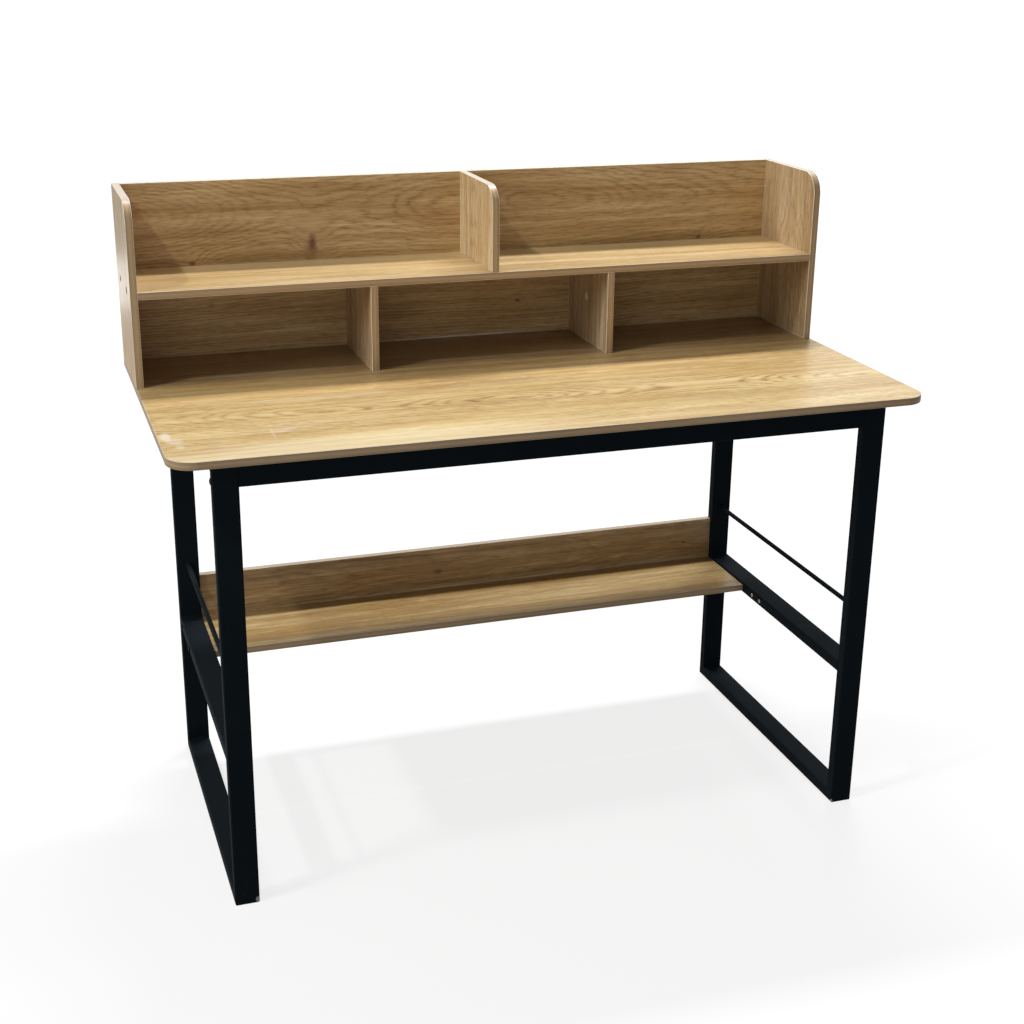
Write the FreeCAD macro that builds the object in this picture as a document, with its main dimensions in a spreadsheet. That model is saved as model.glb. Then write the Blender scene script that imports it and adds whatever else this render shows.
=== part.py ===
import FreeCAD, Part
import math
import os
import Sketcher

# Desk with cubbies
# An oak faced worktop on two black tube side frames joined by two top rails.
# A low hutch with five cubbies stands at the back of the worktop, and a shelf
# with a back board hangs between the frames near the floor.
# Origin: on the floor, under the middle of the worktop. +X right, +Y to the
# back, +Z up. All sizes are in millimetres.

SIZES = {
    # Worktop
    "worktop_width": 1200.0,
    "worktop_depth": 600.0,
    "worktop_height": 735.0,
    "worktop_thickness": 12.0,
    "worktop_corner_radius": 40.0,
    # Edge band glued round every board
    "band_thickness": 1.0,
    "band_round": 0.7,
    # Hutch
    "hutch_height": 296.0,
    "hutch_depth": 200.0,
    "hutch_board": 12.0,
    "hutch_corner_radius": 38.0,
    "lower_bay_height": 142.0,
    "lower_divider_offset": 208.5,
    # Lower shelf and its back board
    "lower_board": 12.0,
    "lower_shelf_top": 260.0,
    "lower_shelf_depth": 166.0,
    "back_board_height": 80.0,
    # Side frames
    "frame_inset": 62.0,
    "frame_setback": 28.0,
    "tube_width": 38.0,
    "tube_depth": 19.0,
    "tube_wall": 1.5,
    "tube_round": 2.5,
    "mid_rail_height": 245.0,
    "rod_height": 364.0,
    "rod_diameter": 8.0,
    # Top rails, their end plates and their bolts
    "rail_height": 40.0,
    "end_plate": 4.0,
    "bolt_drop": 30.5,
    "bolt_diameter": 6.0,
    "bolt_past_plate": 6.0,
    "bolt_head_diameter": 12.0,
    "bolt_head_height": 2.8,
    "bolt_dome_radius": 9.5,
    "bolt_socket_radius": 2.3,
    "bolt_socket_depth": 1.8,
    # Pan head screws that pass through a tube or a board into the next board
    "pan_screw_diameter": 4.0,
    "pan_head_diameter": 8.0,
    "pan_head_height": 2.2,
    "pan_screw_in_face": 9.0,
    "pan_screw_in_edge": 24.0,
    "worktop_screw_setback": 80.0,
    "shelf_screw_setback": 35.0,
    # Threaded inserts in the mid rails, for things hung in front of the shelf
    "insert_diameter": 6.0,
    "insert_length": 9.0,
    "insert_flange_diameter": 6.8,
    "insert_flange": 0.5,
    "insert_bore": 4.0,
    "insert_pitch": 30.0,
    "insert_lead": 39.5,
    # Countersunk screws of the hutch
    "screw_diameter": 5.0,
    "screw_length": 40.0,
    "screw_tip": 4.0,
    "screw_head_diameter": 9.6,
    "screw_head_height": 3.0,
    "screw_sink": 0.6,
    "screw_socket_radius": 2.3,
    "screw_socket_depth": 2.2,
    "side_screw_pitch": 96.0,
    "base_screw_front": 40.0,
    "base_screw_back": 60.0,
    "back_screw_end": 188.0,
    "board_screw_end": 50.0,
    # Cam fixings of the lower dividers
    "cam_diameter": 15.0,
    "cam_depth": 9.5,
    "cam_drop": 62.0,
    "cam_cross_width": 1.6,
    "cam_cross_length": 8.0,
    "cam_cross_depth": 1.5,
    "cam_bolt_diameter": 5.0,
    "cam_bolt_in_shelf": 8.0,
    "cam_bolt_past_cam": 1.5,
    # Dowels
    "dowel_diameter": 6.0,
    "dowel_in_face": 8.0,
    "dowel_in_edge": 22.0,
    "dowel_setback": 50.0,
    # Gap round a fastener in its hole, and how far a cut runs past a face
    "fit": 0.1,
    "overrun": 2.0,
}

SHEET = "Sizes"
TIP_SHARE = 0.3
MITRE_ANGLE = 45
QUARTER_TURN = math.pi / 2
CORNERS = ("lower_left", "lower_right", "upper_right", "upper_left")

doc = FreeCAD.newDocument("DeskWithCubbies")
nodes = []


class Length:
    """A length that keeps its value together with the sheet formula that gives it."""

    def __init__(self, value, formula):
        self.value = value
        self.formula = formula

    def __add__(self, other):
        return Length(self.value + other.value, f"({self.formula} + {other.formula})")

    def __sub__(self, other):
        return Length(self.value - other.value, f"({self.formula} - {other.formula})")

    def __mul__(self, number):
        return Length(self.value * number, f"({self.formula} * {number})")

    def __truediv__(self, number):
        return Length(self.value / number, f"({self.formula} / {number})")

    def __neg__(self):
        return self * -1


ZERO = Length(0, "0")


def fill_sheet():
    """Writes every driving size into the sheet and returns them as lengths by name."""
    sheet = doc.addObject("Spreadsheet::Sheet", SHEET)
    lengths = {}
    for row, (name, value) in enumerate(SIZES.items(), start=1):
        sheet.set(f"A{row}", name)
        sheet.set(f"B{row}", str(value))
        sheet.setAlias(f"B{row}", name)
        lengths[name] = Length(value, f"{SHEET}.{name}")
    doc.recompute()
    return lengths


size = fill_sheet()

# Turns that send a piece's own +Z along another direction
UPWARD = FreeCAD.Rotation(FreeCAD.Vector(0, 0, 1), 0)
DOWNWARD = FreeCAD.Rotation(FreeCAD.Vector(1, 0, 0), 180)
TO_RIGHT = FreeCAD.Rotation(FreeCAD.Vector(0, 1, 0), 90)
TO_LEFT = FreeCAD.Rotation(FreeCAD.Vector(0, 1, 0), -90)
TO_FRONT = FreeCAD.Rotation(FreeCAD.Vector(1, 0, 0), 90)
TO_BACK = FreeCAD.Rotation(FreeCAD.Vector(1, 0, 0), -90)
CAM_TO_RIGHT = FreeCAD.Rotation(
    FreeCAD.Vector(0, 0, 1), FreeCAD.Vector(0, 1, 0), FreeCAD.Vector(1, 0, 0), "ZXY")
CAM_TO_LEFT = FreeCAD.Rotation(
    FreeCAD.Vector(0, 0, 1), FreeCAD.Vector(0, -1, 0), FreeCAD.Vector(-1, 0, 0), "ZXY")

# Places that several pieces share
right_x = size["worktop_width"] / 2
back_y = size["worktop_depth"] / 2
front_y = -back_y
worktop_top = size["worktop_height"]
worktop_under = worktop_top - size["worktop_thickness"]

hutch_front_y = back_y - size["hutch_depth"]
hutch_middle_y = back_y - size["hutch_depth"] / 2
panel_front_y = back_y - size["hutch_board"]
panel_middle_y = back_y - size["hutch_board"] / 2
hutch_inner_x = right_x - size["hutch_board"]
hutch_top = worktop_top + size["hutch_height"]
bay_depth = size["hutch_depth"] - size["hutch_board"]
shelf_under = worktop_top + size["lower_bay_height"]
shelf_top = shelf_under + size["hutch_board"]
shelf_middle = shelf_under + size["hutch_board"] / 2
divider_x = size["lower_divider_offset"]

frame_outer_x = right_x - size["frame_inset"]
frame_inner_x = frame_outer_x - size["tube_width"]
frame_middle_x = frame_outer_x - size["tube_width"] / 2
leg_front_y = front_y + size["frame_setback"]
leg_back_y = back_y - size["frame_setback"]
gap_front_y = leg_front_y + size["tube_depth"]
gap_back_y = leg_back_y - size["tube_depth"]
mid_rail_middle = size["mid_rail_height"] + size["tube_depth"] / 2

lower_shelf_under = size["lower_shelf_top"] - size["lower_board"]
lower_shelf_front_y = leg_back_y - size["lower_shelf_depth"]
back_board_middle_y = leg_back_y - size["lower_board"] / 2
rail_plate_x = frame_inner_x - size["end_plate"]
bolt_z = worktop_under - size["bolt_drop"]


def bind(piece, **lengths):
    """Binds properties of a piece to sheet formulas."""
    for name, length in lengths.items():
        piece.setExpression(name, length.formula)


def put(piece, x, y, z, turn=UPWARD):
    """Turns a piece and binds its place to sheet formulas."""
    piece.Placement = FreeCAD.Placement(FreeCAD.Vector(x.value, y.value, z.value), turn)
    for axis, length in (("x", x), ("y", y), ("z", z)):
        piece.setExpression(f"Placement.Base.{axis}", length.formula)


def keep(piece, name):
    """Names a finished sub-part, whose shape gets a file of its own."""
    piece.Label = name
    nodes.append(piece)
    return piece


def draw_outline(sketch, name, low, high, rounds):
    """Draws a rectangle from low to high whose named corners may be rounded.

    Every side and radius is constrained to its sheet formula. A side at ZERO lies on the axis."""
    points = (
        (low[0].value, low[1].value),
        (high[0].value, low[1].value),
        (high[0].value, high[1].value),
        (low[0].value, high[1].value),
    )
    steps = ((1, 0), (0, 1), (-1, 0), (0, -1))
    radii = [rounds[corner].value if corner in rounds else 0 for corner in CORNERS]
    sides = []
    for i, (step_x, step_y) in enumerate(steps):
        j = (i + 1) % len(steps)
        start = FreeCAD.Vector(points[i][0] + step_x * radii[i], points[i][1] + step_y * radii[i], 0)
        end = FreeCAD.Vector(points[j][0] - step_x * radii[j], points[j][1] - step_y * radii[j], 0)
        sides.append(sketch.addGeometry(Part.LineSegment(start, end), False))
    for i, corner in enumerate(CORNERS):
        before = sides[i - 1]
        after = sides[i]
        if corner not in rounds:
            sketch.addConstraint(Sketcher.Constraint("Coincident", before, 2, after, 1))
            continue
        step_x, step_y = steps[i]
        centre = FreeCAD.Vector(
            points[i][0] + (step_x - steps[i - 1][0]) * radii[i],
            points[i][1] + (step_y - steps[i - 1][1]) * radii[i],
            0,
        )
        circle = Part.Circle(centre, FreeCAD.Vector(0, 0, 1), radii[i])
        first_angle = math.pi + i * QUARTER_TURN
        arc = sketch.addGeometry(Part.ArcOfCircle(circle, first_angle, first_angle + QUARTER_TURN), False)
        sketch.addConstraint(Sketcher.Constraint("Tangent", before, 2, arc, 1))
        sketch.addConstraint(Sketcher.Constraint("Tangent", arc, 2, after, 1))
        constrain(sketch, f"{name}_{corner}", rounds[corner], "Radius", arc)
    for side, direction in zip(sides, ("Horizontal", "Vertical", "Horizontal", "Vertical")):
        sketch.addConstraint(Sketcher.Constraint(direction, side))
    hold_side(sketch, f"{name}_bottom", low[1], "DistanceY", sides[0])
    hold_side(sketch, f"{name}_right", high[0], "DistanceX", sides[1])
    hold_side(sketch, f"{name}_top", high[1], "DistanceY", sides[2])
    hold_side(sketch, f"{name}_left", low[0], "DistanceX", sides[3])


def hold_side(sketch, name, length, kind, side):
    """Holds a side of an outline at its distance from the sketch's axis, or on the axis."""
    if length is ZERO:
        axis = -1 if kind == "DistanceY" else -2
        sketch.addConstraint(Sketcher.Constraint("PointOnObject", side, 1, axis))
    else:
        constrain(sketch, name, length, kind, -1, 1, side, 1)


def constrain(sketch, name, length, kind, *geometry):
    """Adds a named size constraint that follows its sheet formula."""
    index = sketch.addConstraint(Sketcher.Constraint(kind, *geometry, length.value))
    sketch.renameConstraint(index, name)
    sketch.setExpression(f"Constraints.{name}", length.formula)


def new_sketch(body, role, name):
    """Starts a sketch on one of the body's own origin planes."""
    sketch = body.newObject("Sketcher::SketchObject", name)
    plane = next(feature for feature in body.Origin.OriginFeatures if feature.Role == role)
    sketch.AttachmentSupport = [(plane, "")]
    sketch.MapMode = "FlatFace"
    return sketch


def pad_sketch(body, sketch, name, length):
    """Pads a sketch to a bound length."""
    pad = body.newObject("PartDesign::Pad", name)
    pad.Profile = sketch
    bind(pad, Length=length)
    return pad


def rim_edges(shape):
    """Names the outer edges of the two ring shaped faces of an edge band."""
    rim = [edge for face in shape.Faces if len(face.Wires) == 2 for edge in face.OuterWire.Edges]
    return [
        f"Edge{number}"
        for number, edge in enumerate(shape.Edges, start=1)
        if any(edge.isSame(other) for other in rim)
    ]


def make_board(name, role, width, height, thickness, place, rounds=None):
    """Makes a faced board and the edge band round it, on the given origin plane.

    The width and height are those of the finished board, with its band. A rounded
    corner keeps its centre, so the board under the band is rounded less."""
    rounds = rounds or {}
    band = size["band_thickness"]
    low = (band, band)
    high = (width - band, height - band)
    inner_rounds = {corner: radius - band for corner, radius in rounds.items()}

    core = doc.addObject("PartDesign::Body", name + "_core")
    sketch = new_sketch(core, role, name + "_core_outline")
    draw_outline(sketch, "core", low, high, inner_rounds)
    pad_sketch(core, sketch, name + "_core_pad", thickness)
    put(core, *place)

    strip = doc.addObject("PartDesign::Body", name + "_strip")
    sketch = new_sketch(strip, role, name + "_strip_outline")
    draw_outline(sketch, "outer", (ZERO, ZERO), (width, height), rounds)
    draw_outline(sketch, "inner", low, high, inner_rounds)
    pad = pad_sketch(strip, sketch, name + "_strip_pad", thickness)
    doc.recompute()
    rounding = strip.newObject("PartDesign::Fillet", name + "_strip_round")
    rounding.Base = (pad, rim_edges(pad.Shape))
    bind(rounding, Radius=size["band_round"])
    put(strip, *place)
    return core, strip


def make_tube(name, width, depth, length):
    """Makes a hollow rectangular tube along its own +Z, with one corner at its origin."""
    wall = size["tube_wall"]
    outer_round = size["tube_round"]
    inner_round = outer_round - wall
    body = doc.addObject("PartDesign::Body", name + "_tube")
    sketch = new_sketch(body, "XY_Plane", name + "_section")
    outer_rounds = {corner: outer_round for corner in CORNERS}
    inner_rounds = {corner: inner_round for corner in CORNERS}
    draw_outline(sketch, "outer", (ZERO, ZERO), (width, depth), outer_rounds)
    draw_outline(sketch, "inner", (wall, wall), (width - wall, depth - wall), inner_rounds)
    pad_sketch(body, sketch, name + "_pad", length)
    return body


def make_mitred_tube(name, length):
    """Makes a side of a welded loop: a tube whose two ends are cut at half the corner.

    Its outer face lies on its own XZ plane and its mitres open towards +Y."""
    tube = make_tube(name, size["tube_width"], size["tube_depth"], length)
    reach = size["tube_depth"] * 2
    cutters = []
    for end, height, angle in (("start", ZERO, MITRE_ANGLE - 90), ("finish", length, -MITRE_ANGLE)):
        cutter = doc.addObject("Part::Box", f"{name}_{end}_mitre")
        bind(cutter, Length=size["tube_width"] + size["overrun"] * 2, Width=reach, Height=reach)
        put(cutter, -size["overrun"], ZERO, height, FreeCAD.Rotation(FreeCAD.Vector(1, 0, 0), angle))
        cutters.append(cutter)
    return cut(name + "_mitred", tube, cutters)


def compound(name, pieces):
    """Gathers pieces that stay separate solids."""
    group = doc.addObject("Part::Compound", name)
    group.Links = pieces
    return group


def cut(name, base, tools):
    """Cuts one or more tools from a base."""
    result = doc.addObject("Part::Cut", name)
    result.Base = base
    result.Tool = tools[0] if len(tools) == 1 else compound(name + "_tools", tools)
    return result


def fuse(name, pieces):
    """Joins pieces into one solid."""
    result = doc.addObject("Part::MultiFuse", name)
    result.Shapes = pieces
    return result


def cylinder(name, radius, length, start=ZERO):
    """Makes a cylinder along +Z that starts at a height."""
    rod = doc.addObject("Part::Cylinder", name)
    bind(rod, Radius=radius, Height=length)
    put(rod, ZERO, ZERO, start)
    return rod


def cone(name, first_radius, second_radius, length, start):
    """Makes a cone along +Z that starts at a height."""
    taper = doc.addObject("Part::Cone", name)
    bind(taper, Radius1=first_radius, Radius2=second_radius, Height=length)
    put(taper, ZERO, ZERO, start)
    return taper


def hex_socket(name, radius, depth, start):
    """Makes the six sided recess of a screw head."""
    socket = doc.addObject("Part::Prism", name)
    socket.Polygon = 6
    bind(socket, Circumradius=radius, Height=depth + size["overrun"])
    put(socket, ZERO, ZERO, start - size["overrun"])
    return socket


def repeat(name, master, places):
    """Repeats a master piece at each place, as separate solids of one group."""
    copies = []
    for number, (x, y, z, turn) in enumerate(places, start=1):
        copy = doc.addObject("App::Link", f"{name}_{number}")
        copy.LinkedObject = master
        put(copy, x, y, z, turn)
        copies.append(copy)
    return compound(name, copies)


def mirrored(x, y, z):
    """Gives a place on the right side and its mirror image on the left, each facing inwards."""
    return [(x, y, z, TO_LEFT), (-x, y, z, TO_RIGHT)]


def both_sides(x, y, z, turn=UPWARD):
    """Gives a place on the right side and its mirror image on the left, facing the same way."""
    return [(x, y, z, turn), (-x, y, z, turn)]


# Masters of the fasteners: each lies along +Z, with its seat at the origin
def make_countersunk_screw():
    """Makes the countersunk screw of the hutch and the hole that it leaves."""
    sink = size["screw_sink"]
    radius = size["screw_diameter"] / 2
    head_radius = size["screw_head_diameter"] / 2
    head_end = sink + size["screw_head_height"]
    tip_start = sink + size["screw_length"] - size["screw_tip"]
    solid = fuse("screw_blank", [
        cone("screw_head", head_radius, radius, size["screw_head_height"], sink),
        cylinder("screw_shank", radius, tip_start - head_end, head_end),
        cone("screw_point", radius, radius * TIP_SHARE, size["screw_tip"], tip_start),
    ])
    socket = hex_socket("screw_socket", size["screw_socket_radius"], size["screw_socket_depth"], sink)
    screw = cut("screw_master", solid, [socket])
    fit = size["fit"]
    hole = fuse("screw_hole_master", [
        cylinder("screw_hole_mouth", head_radius + fit, sink + size["overrun"], -size["overrun"]),
        cone("screw_hole_seat", head_radius + fit, radius + fit, size["screw_head_height"], sink),
        cylinder("screw_hole_bore", radius + fit, sink + size["screw_length"] + fit),
    ])
    return screw, hole


def make_pan_screw(name, grip, bite):
    """Makes a pan head screw through a piece as thick as its grip, and the hole that it leaves.

    Its bite is how far it reaches into the next piece."""
    radius = size["pan_screw_diameter"] / 2
    head = size["pan_head_height"]
    tip = size["screw_tip"]
    length = grip + bite
    screw = fuse(name + "_master", [
        cylinder(name + "_head", size["pan_head_diameter"] / 2, head, -head),
        cylinder(name + "_shank", radius, length - tip),
        cone(name + "_point", radius, radius * TIP_SHARE, tip, length - tip),
    ])
    bore_length = length + size["fit"] + size["overrun"]
    hole = cylinder(name + "_hole_master", radius + size["fit"], bore_length, -size["overrun"])
    return screw, hole


def make_rail_bolt():
    """Makes the domed bolt that passes through a leg into a rail's end plate, and its hole."""
    radius = size["bolt_diameter"] / 2
    head = size["bolt_head_height"]
    length = size["tube_width"] + size["end_plate"] + size["bolt_past_plate"]
    ball = doc.addObject("Part::Sphere", "bolt_dome_ball")
    bind(ball, Radius=size["bolt_dome_radius"])
    put(ball, ZERO, ZERO, size["bolt_dome_radius"] - head)
    dome = doc.addObject("Part::MultiCommon", "bolt_dome")
    dome.Shapes = [cylinder("bolt_head", size["bolt_head_diameter"] / 2, head, -head), ball]
    blank = fuse("bolt_blank", [dome, cylinder("bolt_shank", radius, length)])
    socket = hex_socket("bolt_socket", size["bolt_socket_radius"], size["bolt_socket_depth"], -head)
    bolt = cut("bolt_master", blank, [socket])
    bore_length = length + size["overrun"] * 2
    hole = cylinder("bolt_hole_master", radius + size["fit"], bore_length, -size["overrun"])
    return bolt, hole


def make_cam():
    """Makes a cam with its cross recess, its bolt, and the holes that both leave.

    The cam's face lies at the origin. Its bolt comes from the cam's own +X side."""
    depth = size["cam_depth"]
    radius = size["cam_diameter"] / 2
    bolt_radius = size["cam_bolt_diameter"] / 2
    past = size["cam_bolt_past_cam"]
    fit = size["fit"]
    bolt_length = size["cam_drop"] + size["cam_bolt_in_shelf"] + past
    cutters = []
    across = (size["cam_cross_length"], size["cam_cross_width"])
    for name, (length, width) in (("across", across), ("along", across[::-1])):
        bar = doc.addObject("Part::Box", f"cam_cross_{name}")
        bind(bar, Length=length, Width=width, Height=size["cam_cross_depth"] + size["overrun"])
        put(bar, -length / 2, -width / 2, -size["overrun"])
        cutters.append(bar)
    slot = cylinder("cam_bolt_slot", bolt_radius + fit, past + fit + radius + size["overrun"])
    put(slot, -past - fit, ZERO, size["hutch_board"] / 2, TO_RIGHT)
    cutters.append(slot)
    cam = cut("cam_master", cylinder("cam_disc", radius, depth), cutters)
    pocket = cylinder("cam_pocket_master", radius + fit, depth + fit + size["overrun"], -size["overrun"])
    bolt = cylinder("cam_bolt_master", bolt_radius, bolt_length)
    bolt_hole = cylinder("cam_bolt_hole_master", bolt_radius + fit, bolt_length + fit * 2, -fit)
    return cam, pocket, bolt, bolt_hole


def make_insert():
    """Makes a threaded insert whose flange seats on a tube, and the hole that it leaves."""
    radius = size["insert_diameter"] / 2
    flange = size["insert_flange"]
    blank = fuse("insert_blank", [
        cylinder("insert_flange", size["insert_flange_diameter"] / 2, flange, -flange),
        cylinder("insert_barrel", radius, size["insert_length"]),
    ])
    bore_length = flange + size["insert_length"] + size["overrun"] * 2
    bore = cylinder("insert_bore", size["insert_bore"] / 2, bore_length, -flange - size["overrun"])
    insert = cut("insert_master", blank, [bore])
    hole_length = size["insert_length"] + size["overrun"]
    hole = cylinder("insert_hole_master", radius + size["fit"], hole_length, -size["overrun"])
    return insert, hole


def make_dowel():
    """Makes a dowel that starts in a board's face, and its hole."""
    radius = size["dowel_diameter"] / 2
    length = size["dowel_in_face"] + size["dowel_in_edge"]
    dowel = cylinder("dowel_master", radius, length, -size["dowel_in_face"])
    fit = size["fit"]
    hole = cylinder("dowel_hole_master", radius + fit, length + fit * 2, -size["dowel_in_face"] - fit)
    return dowel, hole


def in_rows(y_places, make_row):
    """Lists the places of several rows, one for each distance from front to back."""
    return [spot for y in y_places for spot in make_row(y)]


def place_fasteners():
    """Lists each node of fasteners with its master, its hole's master and where its pieces sit."""
    screw, screw_hole = make_countersunk_screw()
    bolt, bolt_hole = make_rail_bolt()
    insert, insert_hole = make_insert()
    cam, cam_pocket, cam_bolt, cam_bolt_hole = make_cam()
    dowel, dowel_hole = make_dowel()
    edge_bite = size["pan_screw_in_edge"]
    worktop_screw = make_pan_screw("worktop_screw", size["tube_depth"], size["pan_screw_in_face"])
    shelf_screw = make_pan_screw("shelf_screw", size["tube_width"], edge_bite)
    board_screw = make_pan_screw("board_screw", size["lower_board"], edge_bite)
    base_screw = make_pan_screw("base_screw", size["worktop_thickness"], edge_bite)

    # The hutch: screws from its sides, from behind, from under its shelf and from under the worktop
    half_pitch = size["side_screw_pitch"] / 2
    panel_x = hutch_inner_x - size["back_screw_end"]
    side_x = right_x - size["hutch_board"] / 2
    base_rows = (hutch_front_y + size["base_screw_front"], back_y - size["base_screw_back"])
    base_spots = [(x, panel_middle_y, worktop_under, UPWARD) for x in (-panel_x, ZERO, panel_x)]
    base_spots += in_rows(base_rows, lambda y: both_sides(side_x, y, worktop_under))
    base_spots += in_rows(base_rows, lambda y: both_sides(divider_x, y, worktop_under))

    # Dowels in the ends of the back panel and in the tops of the lower dividers
    dowel_levels = (worktop_top + size["dowel_setback"], hutch_top - size["dowel_setback"])
    dowel_spots = [spot for z in dowel_levels for spot in mirrored(hutch_inner_x, panel_middle_y, z)]
    dowel_rows = (hutch_front_y + size["dowel_setback"], panel_front_y - size["dowel_setback"])
    dowel_spots += in_rows(dowel_rows, lambda y: both_sides(divider_x, y, shelf_under, DOWNWARD))

    # The cams face the middle bay with their own +X upwards, and take bolts from the shelf
    cam_x = divider_x - size["hutch_board"] / 2
    cam_z = shelf_under - size["cam_drop"]
    cam_spots = [
        (cam_x, hutch_middle_y, cam_z, CAM_TO_RIGHT),
        (-cam_x, hutch_middle_y, cam_z, CAM_TO_LEFT),
    ]
    cam_bolt_z = cam_z - size["cam_bolt_past_cam"]

    # The frames: bolts into the top rails, screws into the worktop and the lower shelf, and inserts
    bolt_rows = (leg_front_y + size["tube_depth"] / 2, leg_back_y - size["tube_depth"] / 2)
    outer_y = leg_back_y - size["worktop_screw_setback"]
    top_bar_under = worktop_under - size["tube_depth"]
    setback = size["shelf_screw_setback"]
    shelf_rows = (lower_shelf_front_y + setback, leg_back_y - setback)
    shelf_z = lower_shelf_under + size["lower_board"] / 2
    insert_y = lower_shelf_front_y - size["insert_lead"]
    insert_rows = (insert_y, insert_y - size["insert_pitch"])
    board_x = frame_inner_x - size["board_screw_end"]
    board_spots = both_sides(board_x, back_board_middle_y, lower_shelf_under)
    board_spots += both_sides(board_x / 3, back_board_middle_y, lower_shelf_under)

    return {
        "hutch_side_screws": (screw, screw_hole, in_rows(
            (hutch_middle_y - half_pitch, hutch_middle_y + half_pitch),
            lambda y: mirrored(right_x, y, shelf_middle))),
        "back_panel_screws": (screw, screw_hole, [
            (x, back_y, shelf_middle, TO_FRONT) for x in (-panel_x, ZERO, panel_x)]),
        "upper_divider_screws": (screw, screw_hole, [(ZERO, y, shelf_under, UPWARD) for y in base_rows]),
        "hutch_base_screws": (*base_screw, base_spots),
        "dowels": (dowel, dowel_hole, dowel_spots),
        "cam_discs": (cam, cam_pocket, cam_spots),
        "cam_bolts": (cam_bolt, cam_bolt_hole, both_sides(divider_x, hutch_middle_y, cam_bolt_z)),
        "rail_bolts": (bolt, bolt_hole, in_rows(bolt_rows, lambda y: mirrored(frame_outer_x, y, bolt_z))),
        "worktop_screws": (*worktop_screw, in_rows(
            (-outer_y, ZERO, outer_y), lambda y: both_sides(frame_middle_x, y, top_bar_under))),
        "lower_shelf_screws": (*shelf_screw, in_rows(
            shelf_rows, lambda y: mirrored(frame_outer_x, y, shelf_z))),
        "rail_inserts": (insert, insert_hole, in_rows(
            insert_rows, lambda y: mirrored(-frame_inner_x, y, mid_rail_middle))),
        "back_board_screws": (*board_screw, board_spots),
    }


fasteners = place_fasteners()
holes = {name: repeat(name + "_holes", hole, spots) for name, (_, hole, spots) in fasteners.items()}


def drill(name, piece, fixings):
    """Cuts the holes of the named nodes of fasteners in a piece and keeps it as a node."""
    if fixings:
        piece = cut(name + "_drilled", piece, [holes[fixing] for fixing in fixings])
    keep(piece, name)


def finish_board(name, board, core_fixings, band_fixings):
    """Drills a board and its edge band and keeps both as nodes."""
    core, strip = board
    drill(name, core, core_fixings)
    drill(name + "_edge_band", strip, band_fixings)


def make_worktop():
    """Makes the worktop, with rounded front corners, over the whole desk."""
    corner = size["worktop_corner_radius"]
    board = make_board(
        "worktop", "XY_Plane", size["worktop_width"], size["worktop_depth"], size["worktop_thickness"],
        (-right_x, front_y, worktop_under), {"lower_left": corner, "lower_right": corner})
    finish_board("worktop", board, ["hutch_base_screws", "worktop_screws"], [])


def make_hutch_sides():
    """Makes the two hutch sides, rounded at the top of their front edges."""
    for name, x in (("hutch_left_side", -right_x), ("hutch_right_side", hutch_inner_x)):
        board = make_board(
            name, "YZ_Plane", size["hutch_depth"], size["hutch_height"], size["hutch_board"],
            (x, hutch_front_y, worktop_top), {"upper_left": size["hutch_corner_radius"]})
        finish_board(
            name, board, ["hutch_side_screws", "hutch_base_screws", "dowels"], ["hutch_base_screws"])


def make_hutch_shelf():
    """Makes the shelf that parts the upper cubbies from the lower ones."""
    board = make_board(
        "hutch_shelf", "XY_Plane", hutch_inner_x * 2, bay_depth, size["hutch_board"],
        (-hutch_inner_x, hutch_front_y, shelf_under))
    fixings = ["hutch_side_screws", "back_panel_screws", "upper_divider_screws", "dowels", "cam_bolts"]
    finish_board("hutch_shelf", board, fixings, ["hutch_side_screws", "back_panel_screws"])


def make_hutch_back():
    """Makes the back panel that closes the hutch between its sides."""
    board = make_board(
        "hutch_back_panel", "XZ_Plane", hutch_inner_x * 2, size["hutch_height"], size["hutch_board"],
        (-hutch_inner_x, back_y, worktop_top))
    finish_board(
        "hutch_back_panel", board, ["back_panel_screws", "hutch_base_screws", "dowels"],
        ["hutch_base_screws", "dowels"])


def make_dividers():
    """Makes the upper divider in the middle and the two lower dividers."""
    half_board = size["hutch_board"] / 2
    upper = make_board(
        "upper_divider", "YZ_Plane", bay_depth, hutch_top - shelf_top, size["hutch_board"],
        (-half_board, hutch_front_y, shelf_top), {"upper_left": size["hutch_corner_radius"]})
    finish_board("upper_divider", upper, ["upper_divider_screws"], ["upper_divider_screws"])
    for name, x in (("lower_left_divider", -divider_x), ("lower_right_divider", divider_x)):
        lower = make_board(
            name, "YZ_Plane", bay_depth, size["lower_bay_height"], size["hutch_board"],
            (x - half_board, hutch_front_y, worktop_top))
        edge_fixings = ["hutch_base_screws", "dowels", "cam_bolts"]
        finish_board(name, lower, edge_fixings + ["cam_discs"], edge_fixings)


def make_lower_boards():
    """Makes the lower shelf between the mid rails and the back board between the rear legs."""
    shelf = make_board(
        "lower_shelf", "XY_Plane", frame_inner_x * 2, size["lower_shelf_depth"], size["lower_board"],
        (-frame_inner_x, lower_shelf_front_y, lower_shelf_under))
    finish_board("lower_shelf", shelf, ["lower_shelf_screws", "back_board_screws"], ["lower_shelf_screws"])
    board = make_board(
        "lower_back_board", "XZ_Plane", frame_inner_x * 2, size["back_board_height"], size["lower_board"],
        (-frame_inner_x, leg_back_y, size["lower_shelf_top"]))
    finish_board("lower_back_board", board, ["back_board_screws"], ["back_board_screws"])


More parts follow.
